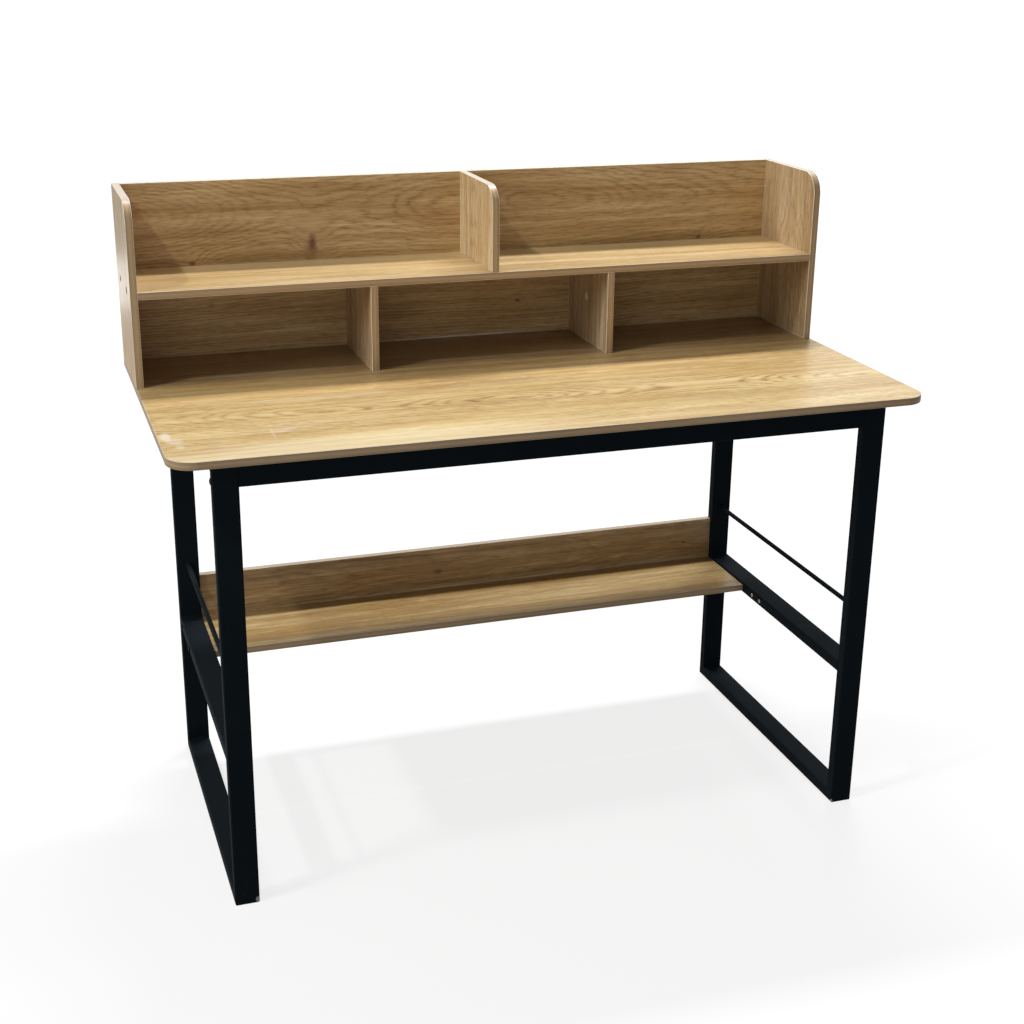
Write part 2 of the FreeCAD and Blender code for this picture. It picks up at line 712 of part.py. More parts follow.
def make_side_frame(side, x):
    """Makes one welded side frame whose left face is at x: a loop, a mid rail and a rod."""
    height = worktop_under
    depth = leg_back_y - leg_front_y
    loop = (
        ("front_leg", height, leg_front_y, ZERO, 0, ["rail_bolts"]),
        ("floor_bar", depth, leg_back_y, ZERO, 90, []),
        ("rear_leg", height, leg_back_y, height, 180, ["rail_bolts"]),
        ("top_bar", depth, leg_front_y, height, 270, ["worktop_screws"]),
    )
    for part, length, y, z, angle, fixings in loop:
        name = f"{side}_{part}"
        tube = make_mitred_tube(name, length)
        put(tube, x, y, z, FreeCAD.Rotation(FreeCAD.Vector(1, 0, 0), angle))
        drill(name, tube, fixings)

    name = f"{side}_mid_rail"
    rail = make_tube(name, size["tube_width"], size["tube_depth"], gap_back_y - gap_front_y)
    put(rail, x, gap_back_y, size["mid_rail_height"], TO_FRONT)
    drill(name, rail, ["lower_shelf_screws", "rail_inserts"])

    rod = cylinder(f"{side}_rod", size["rod_diameter"] / 2, gap_back_y - gap_front_y)
    put(rod, x + size["tube_width"] / 2, gap_front_y, size["rod_height"], TO_BACK)
    keep(rod, f"{side}_side_rod")


def make_end_plate(name, x, y):
    """Makes the plate welded in one end of a top rail, drilled for the rail's bolt."""
    margin = size["tube_wall"] + size["fit"]
    corner = size["tube_round"] - size["tube_wall"]
    plate = doc.addObject("PartDesign::Body", name)
    sketch = new_sketch(plate, "XY_Plane", name + "_outline")
    high = (size["rail_height"] - margin, size["tube_depth"] - margin)
    draw_outline(sketch, "plate", (margin, margin), high, {place: corner for place in CORNERS})
    pad_sketch(plate, sketch, name + "_pad", size["end_plate"])
    put(plate, x, y, worktop_under, TO_RIGHT)
    return cut(name + "_drilled", plate, [holes["rail_bolts"]])


def make_top_rails():
    """Makes the two rails under the worktop, with a plate in each of their ends."""
    plates = []
    for name, y in (("front_top_rail", leg_front_y), ("rear_top_rail", gap_back_y)):
        rail = make_tube(name, size["rail_height"], size["tube_depth"], frame_inner_x * 2)
        put(rail, -frame_inner_x, y, worktop_under, TO_RIGHT)
        keep(rail, name)
        for side, x in (("left", -frame_inner_x), ("right", rail_plate_x)):
            plates.append(make_end_plate(f"{name}_{side}_plate", x, y))
    keep(compound("rail_end_plate_group", plates), "rail_end_plates")


make_worktop()
make_hutch_sides()
make_hutch_shelf()
make_hutch_back()
make_dividers()
make_lower_boards()
make_side_frame("left", -frame_outer_x)
make_side_frame("right", frame_inner_x)
make_top_rails()

for node_name, (piece, _, spots) in fasteners.items():
    keep(repeat(node_name + "_group", piece, spots), node_name)

doc.recompute()


def check_model():
    """Stops if any object failed, a cut removed nothing or a sub-part's shape isn't sound."""
    for item in doc.Objects:
        if "Invalid" in item.State or "Error" in item.State:
            raise RuntimeError(f"{item.Label} failed: {item.State}")
        if item.TypeId == "Part::Cut" and item.Shape.Volume >= item.Base.Shape.Volume:
            raise RuntimeError(f"{item.Label} cuts nothing")
    for node in nodes:
        if node.Shape.isNull() or not node.Shape.isValid():
            raise RuntimeError(f"{node.Label} has no sound shape")


def write_parts():
    """Writes each sub-part to a file of its own."""
    os.makedirs("parts", exist_ok=True)
    for node in nodes:
        node.Shape.exportStep(f"parts/{node.Label}.step")
        print(f"{node.Label}: {len(node.Shape.Solids)} solid(s), {node.Shape.Volume:.1f} mm3")


check_model()
write_parts()
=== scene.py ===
# %% [markdown]
# A desk with cubbies, dressed for the camera.
# The boards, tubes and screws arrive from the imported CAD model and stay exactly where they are.
# This lesson gives each of them its finish, adds the weld beads that the CAD leaves out, and
# sets up a small photo studio round the desk.

# %% Load the desk
import math
from typing import NamedTuple

import bmesh
import bpy
from mathutils import Matrix, Vector


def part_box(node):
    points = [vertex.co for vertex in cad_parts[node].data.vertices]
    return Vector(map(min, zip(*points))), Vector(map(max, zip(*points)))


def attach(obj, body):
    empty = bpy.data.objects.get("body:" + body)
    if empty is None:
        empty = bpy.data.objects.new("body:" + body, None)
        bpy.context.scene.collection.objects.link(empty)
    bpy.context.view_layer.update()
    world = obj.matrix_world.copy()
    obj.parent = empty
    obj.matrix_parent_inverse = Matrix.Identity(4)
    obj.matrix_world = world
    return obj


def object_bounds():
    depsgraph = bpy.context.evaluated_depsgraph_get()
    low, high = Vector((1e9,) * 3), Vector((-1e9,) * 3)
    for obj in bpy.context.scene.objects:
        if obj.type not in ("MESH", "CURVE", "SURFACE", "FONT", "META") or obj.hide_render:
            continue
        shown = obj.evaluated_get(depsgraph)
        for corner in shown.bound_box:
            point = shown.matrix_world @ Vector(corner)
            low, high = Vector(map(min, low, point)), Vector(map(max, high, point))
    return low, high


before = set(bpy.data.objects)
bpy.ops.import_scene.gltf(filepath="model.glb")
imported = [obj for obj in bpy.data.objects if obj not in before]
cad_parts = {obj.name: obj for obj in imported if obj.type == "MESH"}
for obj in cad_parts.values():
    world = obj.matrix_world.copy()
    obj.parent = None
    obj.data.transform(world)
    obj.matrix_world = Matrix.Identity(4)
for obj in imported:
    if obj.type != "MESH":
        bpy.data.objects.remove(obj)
cad_low, cad_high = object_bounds()
bpy.ops.object.select_all(action="DESELECT")
print("desk of", len(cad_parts), "nodes, from", tuple(cad_low), "to", tuple(cad_high))

# %% [markdown]
# The camera stands where the photographer stood: in front and to the left of the desk, a little
# above it, looking down. Its place and its three turns were fitted to the corners of the boards
# in the photograph, so the desk fills the frame in the same way. It could be aimed with a track
# constraint instead, but then the slight roll of the hand-held camera would be lost.

# %% Camera
CAMERA_PLACE = Vector((-0.8173, -2.4079, 1.4295))
CAMERA_TURN_RIGHT = math.radians(18.581)
CAMERA_TILT_DOWN = math.radians(19.743)
CAMERA_ROLL = math.radians(0.584)
FILM_WIDTH_MM = 36
LENS_MM = 56.08
LENS_SHIFT = (0.0037, -0.0105)

look = Vector((
    math.sin(CAMERA_TURN_RIGHT) * math.cos(CAMERA_TILT_DOWN),
    math.cos(CAMERA_TURN_RIGHT) * math.cos(CAMERA_TILT_DOWN),
    -math.sin(CAMERA_TILT_DOWN),
))
level_right = Vector((math.cos(CAMERA_TURN_RIGHT), -math.sin(CAMERA_TURN_RIGHT), 0))
level_up = level_right.cross(look)
right = level_right * math.cos(CAMERA_ROLL) + level_up * math.sin(CAMERA_ROLL)
up = level_up * math.cos(CAMERA_ROLL) - level_right * math.sin(CAMERA_ROLL)

bpy.ops.object.camera_add(location=CAMERA_PLACE)
camera = bpy.context.object
camera.name = "photographer"
camera.rotation_mode = "QUATERNION"
camera.rotation_quaternion = Matrix((right, up, -look)).transposed().to_quaternion()
camera.data.sensor_width = FILM_WIDTH_MM
camera.data.lens = LENS_MM
camera.data.shift_x, camera.data.shift_y = LENS_SHIFT
bpy.context.scene.camera = camera
print("camera looks along", tuple(round(part, 3) for part in look))

# %% [markdown]
# Every finish here is a small network of nodes, and so is the air. Building one takes the same
# few moves again and again: add a node and feed its inputs, do a sum on a number or a vector,
# let something fade in between two limits. Helpers keep that short, so that each finish below
# reads as a recipe.

# %% Helpers for nodes
def add_node(tree, kind, feeds=None, **settings):
    """Adds a node, sets it up and feeds its inputs with values or with other nodes' outputs."""
    node = tree.nodes.new(kind)
    for name, value in settings.items():
        setattr(node, name, value)
    for name, feed in (feeds or {}).items():
        if isinstance(feed, bpy.types.NodeSocket):
            tree.links.new(feed, node.inputs[name])
        else:
            node.inputs[name].default_value = feed
    return node


def do_sum(tree, operation, *feeds):
    """Does a sum on numbers or on other nodes' outputs. It takes in a third feed and more in turn."""
    *first, last = feeds
    if len(first) > 1:
        first = [do_sum(tree, operation, *first)]
    return add_node(
        tree, "ShaderNodeMath", dict(enumerate((*first, last))), operation=operation
    ).outputs[0]


def vector_sum(tree, operation, *feeds):
    """Does one sum on vectors. A length or a distance is a number, and all else a vector."""
    result = "Value" if operation in ("LENGTH", "DISTANCE") else "Vector"
    return add_node(
        tree, "ShaderNodeVectorMath", dict(enumerate(feeds)), operation=operation
    ).outputs[result]


def split(tree, vector):
    """The X, Y and Z of a vector."""
    return add_node(tree, "ShaderNodeSeparateXYZ", {"Vector": vector}).outputs


def read_spot(tree, what="Object"):
    """Where a spot is, in metres, or another of its coordinates, such as the way it faces."""
    return add_node(tree, "ShaderNodeTexCoord").outputs[what]


def fade(tree, feed, start, end, low=0.0, high=1.0, pace="SMOOTHSTEP"):
    """Runs from low to high as feed goes from start to end, and stays inside those two."""
    return add_node(
        tree, "ShaderNodeMapRange",
        {"Value": feed, "From Min": start, "From Max": end, "To Min": low, "To Max": high},
        interpolation_type=pace,
    ).outputs["Result"]


def new_finish(name):
    """Starts a material, and hands back the material, its nodes and its shader."""
    finish = bpy.data.materials.new(name)
    finish.use_nodes = True
    return finish, finish.node_tree, finish.node_tree.nodes["Principled BSDF"]


# %% [markdown]
# The studio is a pale floor that runs to the horizon, with white air above it. The floor is an
# ordinary matt surface, so that it keeps the desk's shadow, and for the camera and for mirrors
# it also glows a little, which lifts it to the white of the photograph without putting any more
# light on the desk. The glow is weaker near the desk, where the shadow has to show.

# %% Floor
FLOOR_RADIUS = 60
FLOOR_GREY = 0.26
GLOW_NEAR = 0.79
GLOW_FAR = 1.0
GLOW_RISES_FROM = 1.4
GLOW_RISES_TO = 4.5
MIRRORED_GLOW = 0.42

bpy.ops.mesh.primitive_circle_add(
    vertices=96, radius=FLOOR_RADIUS, fill_type="NGON", location=(0, 0, 0))
floor = bpy.context.object
floor.name = "studio_floor"
floor_finish, tree, shader = new_finish("studio_floor_white")
shader.inputs["Base Color"].default_value = (FLOOR_GREY, FLOOR_GREY, FLOOR_GREY, 1)
shader.inputs["Roughness"].default_value = 1.0
shader.inputs["Specular IOR Level"].default_value = 0.0
shader.inputs["Emission Color"].default_value = (1, 1, 1, 1)
from_desk = vector_sum(tree, "LENGTH", read_spot(tree))
glow = fade(tree, from_desk, GLOW_RISES_FROM, GLOW_RISES_TO, GLOW_NEAR, GLOW_FAR)
rays = add_node(tree, "ShaderNodeLightPath").outputs
seen = do_sum(
    tree, "MAXIMUM", rays["Is Camera Ray"], rays["Is Transmission Ray"],
    do_sum(tree, "MULTIPLY", rays["Is Glossy Ray"], MIRRORED_GLOW),
)
tree.links.new(do_sum(tree, "MULTIPLY", seen, glow), shader.inputs["Emission Strength"])
floor.data.materials.append(floor_finish)
print("floor reaches", FLOOR_RADIUS, "metres each way")

# %% [markdown]
# The air is white for the camera. It adds a soft light from above, and almost none from the
# horizon. Mirrors see the white backdrop behind the desk, and the dim room behind the
# photographer, so they are given a strength of their own.

# %% Air
CEILING_LIGHT = 0.27
HORIZON_LIGHT = 0.04
CEILING_FROM = 0.9
BACKDROP_LIGHT = 1.0
ROOM_LIGHT = 0.15
ROOM_ENDS = -0.2
BACKDROP_FROM = 0.5

world = bpy.data.worlds.new("studio_air")
bpy.context.scene.world = world
world.use_nodes = True
tree = world.node_tree
rays = add_node(tree, "ShaderNodeLightPath").outputs
direction = split(tree, read_spot(tree, "Generated"))
from_above = fade(
    tree, direction["Z"], 0.0, CEILING_FROM, HORIZON_LIGHT, CEILING_LIGHT, pace="LINEAR")
backdrop = fade(
    tree, direction["Y"], ROOM_ENDS, BACKDROP_FROM, ROOM_LIGHT, BACKDROP_LIGHT, pace="LINEAR")
strength = do_sum(
    tree, "MAXIMUM", rays["Is Camera Ray"], rays["Is Transmission Ray"],
    do_sum(tree, "MULTIPLY", rays["Is Glossy Ray"], backdrop),
    do_sum(tree, "MULTIPLY", rays["Is Diffuse Ray"], from_above),
)
tree.nodes["Background"].inputs["Color"].default_value = (1, 1, 1, 1)
tree.links.new(strength, tree.nodes["Background"].inputs["Strength"])
print("air gives", HORIZON_LIGHT, "at the horizon and", CEILING_LIGHT, "overhead")

# %% [markdown]
# The photograph shows two sharp shadow edges on the worktop in front of the cubbies, so two
# lamps lit the desk: one high on the left and a little in front of it, and a brighter one above
# and behind it. Their places were worked out from where the boards' shadows end. The one behind
# leaves no sharp shadow of the upright divider, so it is a strip, long from left to right. The
# faces turned to the left are brighter than the first lamp makes them, so a third box stands
# lower on that side. A weak box in front, level with the worktop, opens up the faces turned to
# the camera without shining into the cubbies' floors. A small white card stands low behind the
# left end: its mirror image is the cream band on the hutch's left side.

# %% Lamps
HUTCH_FRONT = 0.05
worktop_low, worktop_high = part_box("worktop")
hutch_foot = Vector((0, HUTCH_FRONT, worktop_high.z))


def add_lamp(name, place, target, wide, tall, share):
    """A soft box that gives a surface at the target, turned to it, this share of plain light."""
    bpy.ops.object.light_add(type="AREA", location=place)
    lamp = bpy.context.object
    lamp.name = name
    reach = Vector(target) - Vector(place)
    lamp.rotation_euler = reach.to_track_quat("-Z", "Y").to_euler()
    lamp.data.shape = "RECTANGLE"
    lamp.data.size = wide
    lamp.data.size_y = tall
    lamp.data.energy = share * (math.pi * reach.length) ** 2
    lamp.visible_camera = False
    print(name, "gives", round(lamp.data.energy, 1), "watts")


add_lamp("left_soft_box", (-2.5, -0.85, 4.0), hutch_foot, wide=0.35, tall=0.15, share=0.25)
add_lamp("low_left_box", (-3.4, -0.6, 1.9), hutch_foot, wide=0.8, tall=0.8, share=0.20)
add_lamp("rear_strip_box", (0.65, 1.31, 3.41), (0.65, HUTCH_FRONT, worktop_high.z),
         wide=2.00, tall=0.32, share=1.12)
add_lamp("front_soft_box", (-1.3, -2.7, 0.80), hutch_foot, wide=1.60, tall=0.30, share=0.085)
add_lamp("white_card", (-0.86, 1.2, 0.672), (-0.60, 0.2, 0.80), wide=0.40, tall=0.11, share=0.024)
bpy.context.scene.view_settings.view_transform = "Standard"

# %% [markdown]
# Wood, paint and metal all need a few more moves: noise, a soft curve through points, a sum of
# shares, and one minus a number. The noise is stretched in each direction by how many blotches
# there are to the metre, so that every pattern below has a real size.

# %% Helpers for patterns
def add_shares(tree, base, *shares):
    """Adds a share of each feed to the base. They come in pairs of feed and share."""
    return do_sum(
        tree, "ADD", base, *(do_sum(tree, "MULTIPLY", feed, share) for feed, share in shares))


def invert(tree, feed):
    """Turns 0 into 1 and 1 into 0."""
    return do_sum(tree, "SUBTRACT", 1.0, feed)


def curve(tree, feed, points):
    """Reads a soft line through points, given as place and height. Heights lie in 0 to 1."""
    start, end = points[0][0], points[-1][0]
    run = fade(tree, feed, start, end, pace="LINEAR")
    drawn = add_node(tree, "ShaderNodeValToRGB", {"Fac": run})
    ramp = drawn.color_ramp
    ramp.interpolation = "B_SPLINE"
    for place, _ in points[1:-1]:
        ramp.elements.new((place - start) / (end - start))
    for element, (_, height) in zip(ramp.elements, points):
        element.color = (height, height, height, 1)
    return drawn.outputs["Color"]


def speckle(tree, place, stretch, detail=2.0, start=(0, 0, 0)):
    """Noise in 0 to 1. stretch says how many blotches there are to the metre in each direction."""
    spot = add_node(
        tree, "ShaderNodeMapping", {"Vector": place, "Scale": stretch, "Location": start}
    )
    noise = add_node(
        tree, "ShaderNodeTexNoise",
        {"Vector": spot.outputs["Vector"], "Scale": 1.0, "Detail": detail, "Roughness": 0.55},
    )
    return noise.outputs["Fac"]


# %% [markdown]
# The last helpers work on colours and hand the results to the shader. Layers of tint over one
# base colour are most of what each finish needs.

# %% Helpers for colours
def mix_colours(tree, amount, first, second, how="MIX"):
    """Mixes two colours. The amount is how much of the second one shows."""
    mixed = add_node(
        tree, "ShaderNodeMix", {0: amount, 6: first, 7: second},
        data_type="RGBA", blend_type=how,
    )
    return mixed.outputs[2]


def lay_tints(tree, colour, *tints):
    """Lays tints over a colour in turn. Each has its amount, a share of it, its colour and how."""
    for amount, share, tint, how in tints:
        colour = mix_colours(tree, do_sum(tree, "MULTIPLY", amount, share), colour, tint, how)
    return colour


def colour_and_gloss(tree, shader, colour, roughness):
    """Gives the shader its colour and its roughness."""
    tree.links.new(colour, shader.inputs["Base Color"])
    tree.links.new(roughness, shader.inputs["Roughness"])


def emboss(tree, shader, height, depth):
    """Lets a height from 0 to 1 stand proud of the surface by depth, in metres."""
    relief = add_node(tree, "ShaderNodeBump", {"Height": height, "Strength": 1.0, "Distance": depth})
    tree.links.new(relief.outputs["Normal"], shader.inputs["Normal"])


# %% [markdown]
# The boards carry an oak pattern. Oak that is sawn flat shows nested arches where the saw
# crosses the growth rings: the rings run along the board at its sides and turn over in the
# middle, at the heart. A photograph could be projected on, but a drawn pattern has no size
# limit and can be placed board by board. So the pattern is worked out from three numbers at
# each spot: how far along the grain it is, how far across, and how deep.
#
# The rings are lines of equal distance from the heart, which lies some way below the surface.
# Where that depth changes along the board, the lines turn over into arches. Noise makes them
# wander, and anything that pushes them sideways, as a knot does, is added in.

# %% Growth rings
RING_SPACING = 0.0052
# How dark the wood is on the way from one ring line to the next.
RING_PROFILE = ((0.0, 1.0), (0.13, 0.40), (0.34, 0.0), (0.78, 0.06), (1.0, 1.0))


def wander(tree, grain, stretch, sway, start=(0, 0, 0)):
    """Noise in metres that swings by about half of sway to each side."""
    centred = do_sum(tree, "SUBTRACT", speckle(tree, grain, stretch, 2.0, start), 0.5)
    return do_sum(tree, "MULTIPLY", centred, sway)


def ring_lines(tree, grain, heart, depth, push):
    """1 on the dark line of each growth ring, and 0 in the pale wood between two lines."""
    across = do_sum(
        tree, "ADD", split(tree, grain)["Y"], push,
        wander(tree, grain, (1.6, 11, 30), 0.026),
        wander(tree, grain, (8, 55, 60), 0.007, (3, 0, 0)),
        wander(tree, grain, (55, 260, 60), 0.0022, (0, 7, 0)),
    )
    # Each fibre is shifted a little along the grain, which breaks the arches into short steps.
    depth = do_sum(
        tree, "ADD", depth,
        wander(tree, grain, (5, 9, 3), 0.020, (9, 9, 0)),
        wander(tree, grain, (12, 420, 60), 0.0042, (2, 9, 4)),
    )
    from_heart = do_sum(tree, "SUBTRACT", across, heart)
    distance = do_sum(tree, "SQRT", do_sum(
        tree, "ADD",
        do_sum(tree, "MULTIPLY", from_heart, from_heart),
        do_sum(tree, "MULTIPLY", depth, depth),
    ))
    distance = do_sum(tree, "ADD", distance, wander(tree, grain, (7, 30, 9), 0.006, (5, 3, 1)))
    ring = do_sum(tree, "FRACT", do_sum(tree, "DIVIDE", distance, RING_SPACING))
    return curve(tree, ring, RING_PROFILE)


# %% [markdown]
# Between and over the ring lines lie smaller things: pores as short dark dashes, pale glints,
# ribbons where the fibres lean, and slow changes of tone. Each is noise, stretched along the
# grain, of which only the highest part shows. A node group keeps the whole figure in one box
# that every board can use.

# %% Oak figure
def add_sockets(group, in_out, kind, *names):
    """Gives a node group inputs or outputs of one kind."""
    for name in names:
        group.interface.new_socket(name, in_out=in_out, socket_type="NodeSocket" + kind)


def make_oak_figure():
    """A node group: from a place in the wood to its colour, its gloss and its pores."""
    group = bpy.data.node_groups.new("oak_figure", "ShaderNodeTree")
    add_sockets(group, "INPUT", "Vector", "Grain")
    add_sockets(group, "INPUT", "Float", "Heart", "Depth", "Push")
    add_sockets(group, "INPUT", "Float", "Line Strength", "Ribbon Strength", "Fleck Strength")
    add_sockets(group, "INPUT", "Color", "Pale", "Brown")
    add_sockets(group, "OUTPUT", "Color", "Color")
    add_sockets(group, "OUTPUT", "Float", "Roughness", "Height")
    given = group.nodes.new("NodeGroupInput").outputs

    def streaky(stretch, detail, start, begins, full):
        """Noise along the grain, of which only what is higher than begins shows."""
        return fade(group, speckle(group, given["Grain"], stretch, detail, start), begins, full)

    broken = streaky((34, 420, 90), 3.0, (5, 5, 0), 0.38, 0.60)
    patchy = streaky((3.0, 20, 20), 2.0, (11, 2, 0), 0.34, 0.62)
    lines = do_sum(
        group, "MULTIPLY",
        ring_lines(group, given["Grain"], given["Heart"], given["Depth"], given["Push"]),
        add_shares(group, 0.25, (broken, 0.75)),
        add_shares(group, 0.45, (patchy, 0.55)),
        given["Line Strength"],
    )
    dashes = streaky((42, 300, 90), 3.0, (4, 4, 0), 0.50, 0.68)
    dashes = do_sum(group, "MULTIPLY", dashes, given["Fleck Strength"])
    streaks = streaky((11, 330, 90), 4.0, (2, 9, 0), 0.34, 0.70)
    streaks = do_sum(group, "MULTIPLY", streaks, given["Fleck Strength"])
    ribbons = streaky((2.2, 75, 60), 3.0, (6, 1, 0), 0.38, 0.64)
    ribbons = do_sum(group, "MULTIPLY", ribbons, given["Ribbon Strength"])
    glints = streaky((36, 270, 90), 3.0, (1, 6, 2), 0.54, 0.72)
    pores = streaky((85, 1500, 300), 2.0, (0, 0, 0), 0.60, 0.70)
    tone = streaky((0.8, 9, 12), 3.0, (7, 0, 0), 0.36, 0.64)
    drift = streaky((3.5, 26, 30), 2.0, (0, 4, 0), 0.38, 0.68)
    gleam = streaky((2.6, 48, 40), 3.0, (8, 8, 0), 0.46, 0.70)

    colour = lay_tints(
        group, mix_colours(group, tone, given["Pale"], given["Brown"]),
        (gleam, 0.40, (0.96, 0.80, 0.54, 1), "MIX"),
        (glints, 0.30, (0.96, 0.78, 0.52, 1), "MIX"),
        (drift, 0.45, (0.80, 0.67, 0.52, 1), "MULTIPLY"),
        (ribbons, 1.0, (0.74, 0.65, 0.52, 1), "MULTIPLY"),
        (streaks, 0.75, (0.74, 0.67, 0.56, 1), "MULTIPLY"),
        (dashes, 0.60, (0.70, 0.60, 0.46, 1), "MULTIPLY"),
        (lines, 1.0, (0.44, 0.33, 0.22, 1), "MULTIPLY"),
        (pores, 0.60, (0.55, 0.42, 0.30, 1), "MULTIPLY"),
    )
    gloss = add_shares(group, 0.30, (pores, 0.22), (streaks, 0.07))
    hollow = do_sum(
        group, "ADD", do_sum(group, "MULTIPLY", pores, 0.8), do_sum(group, "MULTIPLY", lines, 0.35))
    add_node(group, "NodeGroupOutput", {
        "Color": colour, "Roughness": gloss, "Height": invert(group, hollow)})
    return group


oak_figure = make_oak_figure()
print("oak figure of", len(oak_figure.nodes), "nodes")

# %% [markdown]
# A knot is where a branch left the trunk. The rings flow round it and its middle is dark and
# reddish. Both come from one smooth hill: its height pushes the rings aside, and its top,
# roughened by noise, is the dark core.

# %% Knots
KNOT_PUSH = 3.4
KNOT_BROWN = (0.13, 0.055, 0.025, 1)


class Knot(NamedTuple):
    """A knot's place along and across the grain, and half its length and width, in metres."""

    along: float
    across: float
    half_long: float
    half_wide: float


def make_knot_hill():
    """A node group: how far the rings are pushed aside at a place, and how dark the core is."""
    group = bpy.data.node_groups.new("oak_knot", "ShaderNodeTree")
    add_sockets(group, "INPUT", "Vector", "Grain", "Place", "Size")
    add_sockets(group, "OUTPUT", "Float", "Push", "Core")
    given = group.nodes.new("NodeGroupInput").outputs
    away = vector_sum(group, "SUBTRACT", given["Grain"], given["Place"])
    away = vector_sum(group, "DIVIDE", away, given["Size"])
    far = vector_sum(group, "LENGTH", vector_sum(group, "MULTIPLY", away, (1, 1, 0)))
    reach = do_sum(group, "MULTIPLY", far, 0.22)
    hill = do_sum(group, "EXPONENT", do_sum(group, "MULTIPLY", reach, reach, -1.0))
    size = split(group, given["Size"])
    narrow = do_sum(group, "MINIMUM", size["X"], size["Y"])
    push = do_sum(group, "MULTIPLY", narrow, KNOT_PUSH, hill)
    ragged = add_shares(group, far, (speckle(group, given["Grain"], (160, 260, 100), 3.0), 1.1))
    core = invert(group, fade(group, ragged, 0.75, 1.9))
    add_node(group, "NodeGroupOutput", {"Push": push, "Core": core})
    return group


oak_knot = make_knot_hill()


def set_knots(tree, grain, knots, shift):
    """How far all the knots push the rings aside, and how dark their cores are."""
    push = 0.0
    core = 0.0
    for knot in knots:
        hill = add_node(
            tree, "ShaderNodeGroup", {
                "Grain": grain, "Place": (knot.along + shift, knot.across, 0),
                "Size": (knot.half_long, knot.half_wide, 1),
            }, node_tree=oak_knot,
        ).outputs
        push = do_sum(tree, "ADD", push, hill["Push"])
        core = do_sum(tree, "MAXIMUM", core, hill["Core"])
    return push, core


print("knot hill of", len(oak_knot.nodes), "nodes")

# %% [markdown]
# A single mark on a board is a ragged oval: a pale strip, a brown streak, a scuff, a darker
# stretch, a band of painted shade or painted light. Noise in its edge gives it the grit that the
# real one has. Most marks go through the whole board, which does no harm, because only its faces
# are seen. One that has to stay on one face of the board is told where that face is and how deep
# to go.

# %% Marks
RIGHT_THROUGH = 100.0


class Mark(NamedTuple):
    """A ragged oval on a board, with its place and half size along and across the grain.

    strength is how much of it shows at its middle, and grit how many specks there are to the
    metre along, across and deep.
    """

    place: tuple
    half_size: tuple
    colour: tuple
    strength: float
    grit: tuple
    face: float = 0.0
    reach: float = RIGHT_THROUGH


def mark_amount(tree, grain, shift, mark):
    """How much of a mark shows at each spot."""
    along, across = mark.place
    half_long, half_wide = mark.half_size
    away = vector_sum(tree, "SUBTRACT", grain, (along + shift, across, mark.face))
    away = vector_sum(tree, "MULTIPLY", away, (1 / half_long, 1 / half_wide, 1 / mark.reach))
    grit = speckle(tree, grain, mark.grit, 3.0, (3, 2, 0))
    ragged = do_sum(tree, "ADD", vector_sum(tree, "LENGTH", away), grit)
    return do_sum(tree, "MULTIPLY", invert(tree, fade(tree, ragged, 0.95, 1.55)), mark.strength)


# %% [markdown]
# One recipe now serves every board. It turns the board's own place into along, across and deep,
# sets its knots into the figure and colours their cores. The pale and brown tones differ from
# board to board, a little as between sheets of real board, and more where a board is painted
# paler for the light on it and darker for its shade. The marks come last, in three kinds: patches
# cover the figure, some of them painted light; darkenings, most of them painted shade, let it
# show; and recess shades cover it with painted shade and take away its shine.

# %% Oak finish
PALE_OAK = (0.80, 0.62, 0.33, 1)
BROWN_OAK = (0.68, 0.49, 0.225, 1)
EVEN_DEPTH = ((-0.6, 0.05), (0.6, 0.05))
PLAIN_SHINE = 0.5
PORE_DEPTH = 0.00012


def oak_finish(name, along, across, heart, depths=EVEN_DEPTH, lean=0.0, knots=(),
               patches=(), shades_and_stains=(), recess_shades=(), lines=1.0, ribbons=0.75, flecks=1.0,
               pale=PALE_OAK, brown=BROWN_OAK, shift=0.0):
    """Oak with its grain along one axis, shifted by so many metres along the sheet.

    The heart lies under the line named by heart, at depths that are points of a curve along the
    grain. Where the curve rises or falls, the rings close into arches.
    """
    finish, tree, shader = new_finish(name)
    parts = split(tree, read_spot(tree))
    deep = ({"X", "Y", "Z"} - {along, across}).pop()
    grain = add_node(tree, "ShaderNodeCombineXYZ", {
        "X": do_sum(tree, "ADD", parts[along], shift), "Y": parts[across], "Z": parts[deep],
    }).outputs["Vector"]
    push, core = set_knots(tree, grain, knots, shift)
    figure = add_node(tree, "ShaderNodeGroup", {
        "Grain": grain, "Heart": add_shares(tree, heart, (parts[along], lean)),
        "Depth": curve(tree, parts[along], depths), "Push": push,
        "Line Strength": lines, "Ribbon Strength": ribbons, "Fleck Strength": flecks,
        "Pale": pale, "Brown": brown,
    }, node_tree=oak_figure).outputs
    colour = figure["Color"]
    shine = PLAIN_SHINE
    for patch in patches:
        colour = mix_colours(tree, mark_amount(tree, grain, shift, patch), colour, patch.colour)
    for darkening in shades_and_stains:
        amount = mark_amount(tree, grain, shift, darkening)
        colour = mix_colours(tree, amount, colour, darkening.colour, "MULTIPLY")
    for spot in recess_shades:
        amount = mark_amount(tree, grain, shift, spot)
        colour = mix_colours(tree, amount, colour, spot.colour)
        shine = do_sum(tree, "SUBTRACT", shine, do_sum(tree, "MULTIPLY", amount, 0.6))
    if knots:
        colour = lay_tints(tree, colour, (core, 0.85, KNOT_BROWN, "MIX"))
    if recess_shades:
        tree.links.new(do_sum(tree, "MAXIMUM", shine, 0.0), shader.inputs["Specular IOR Level"])
    colour_and_gloss(tree, shader, colour, figure["Roughness"])
    emboss(tree, shader, figure["Height"], PORE_DEPTH)
    return finish


def dress(node_name, finish):
    """Puts one finish on all the slots of a node."""
    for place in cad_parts[node_name].material_slots:
        place.material = finish
    print(node_name, "is dressed in", finish.name)
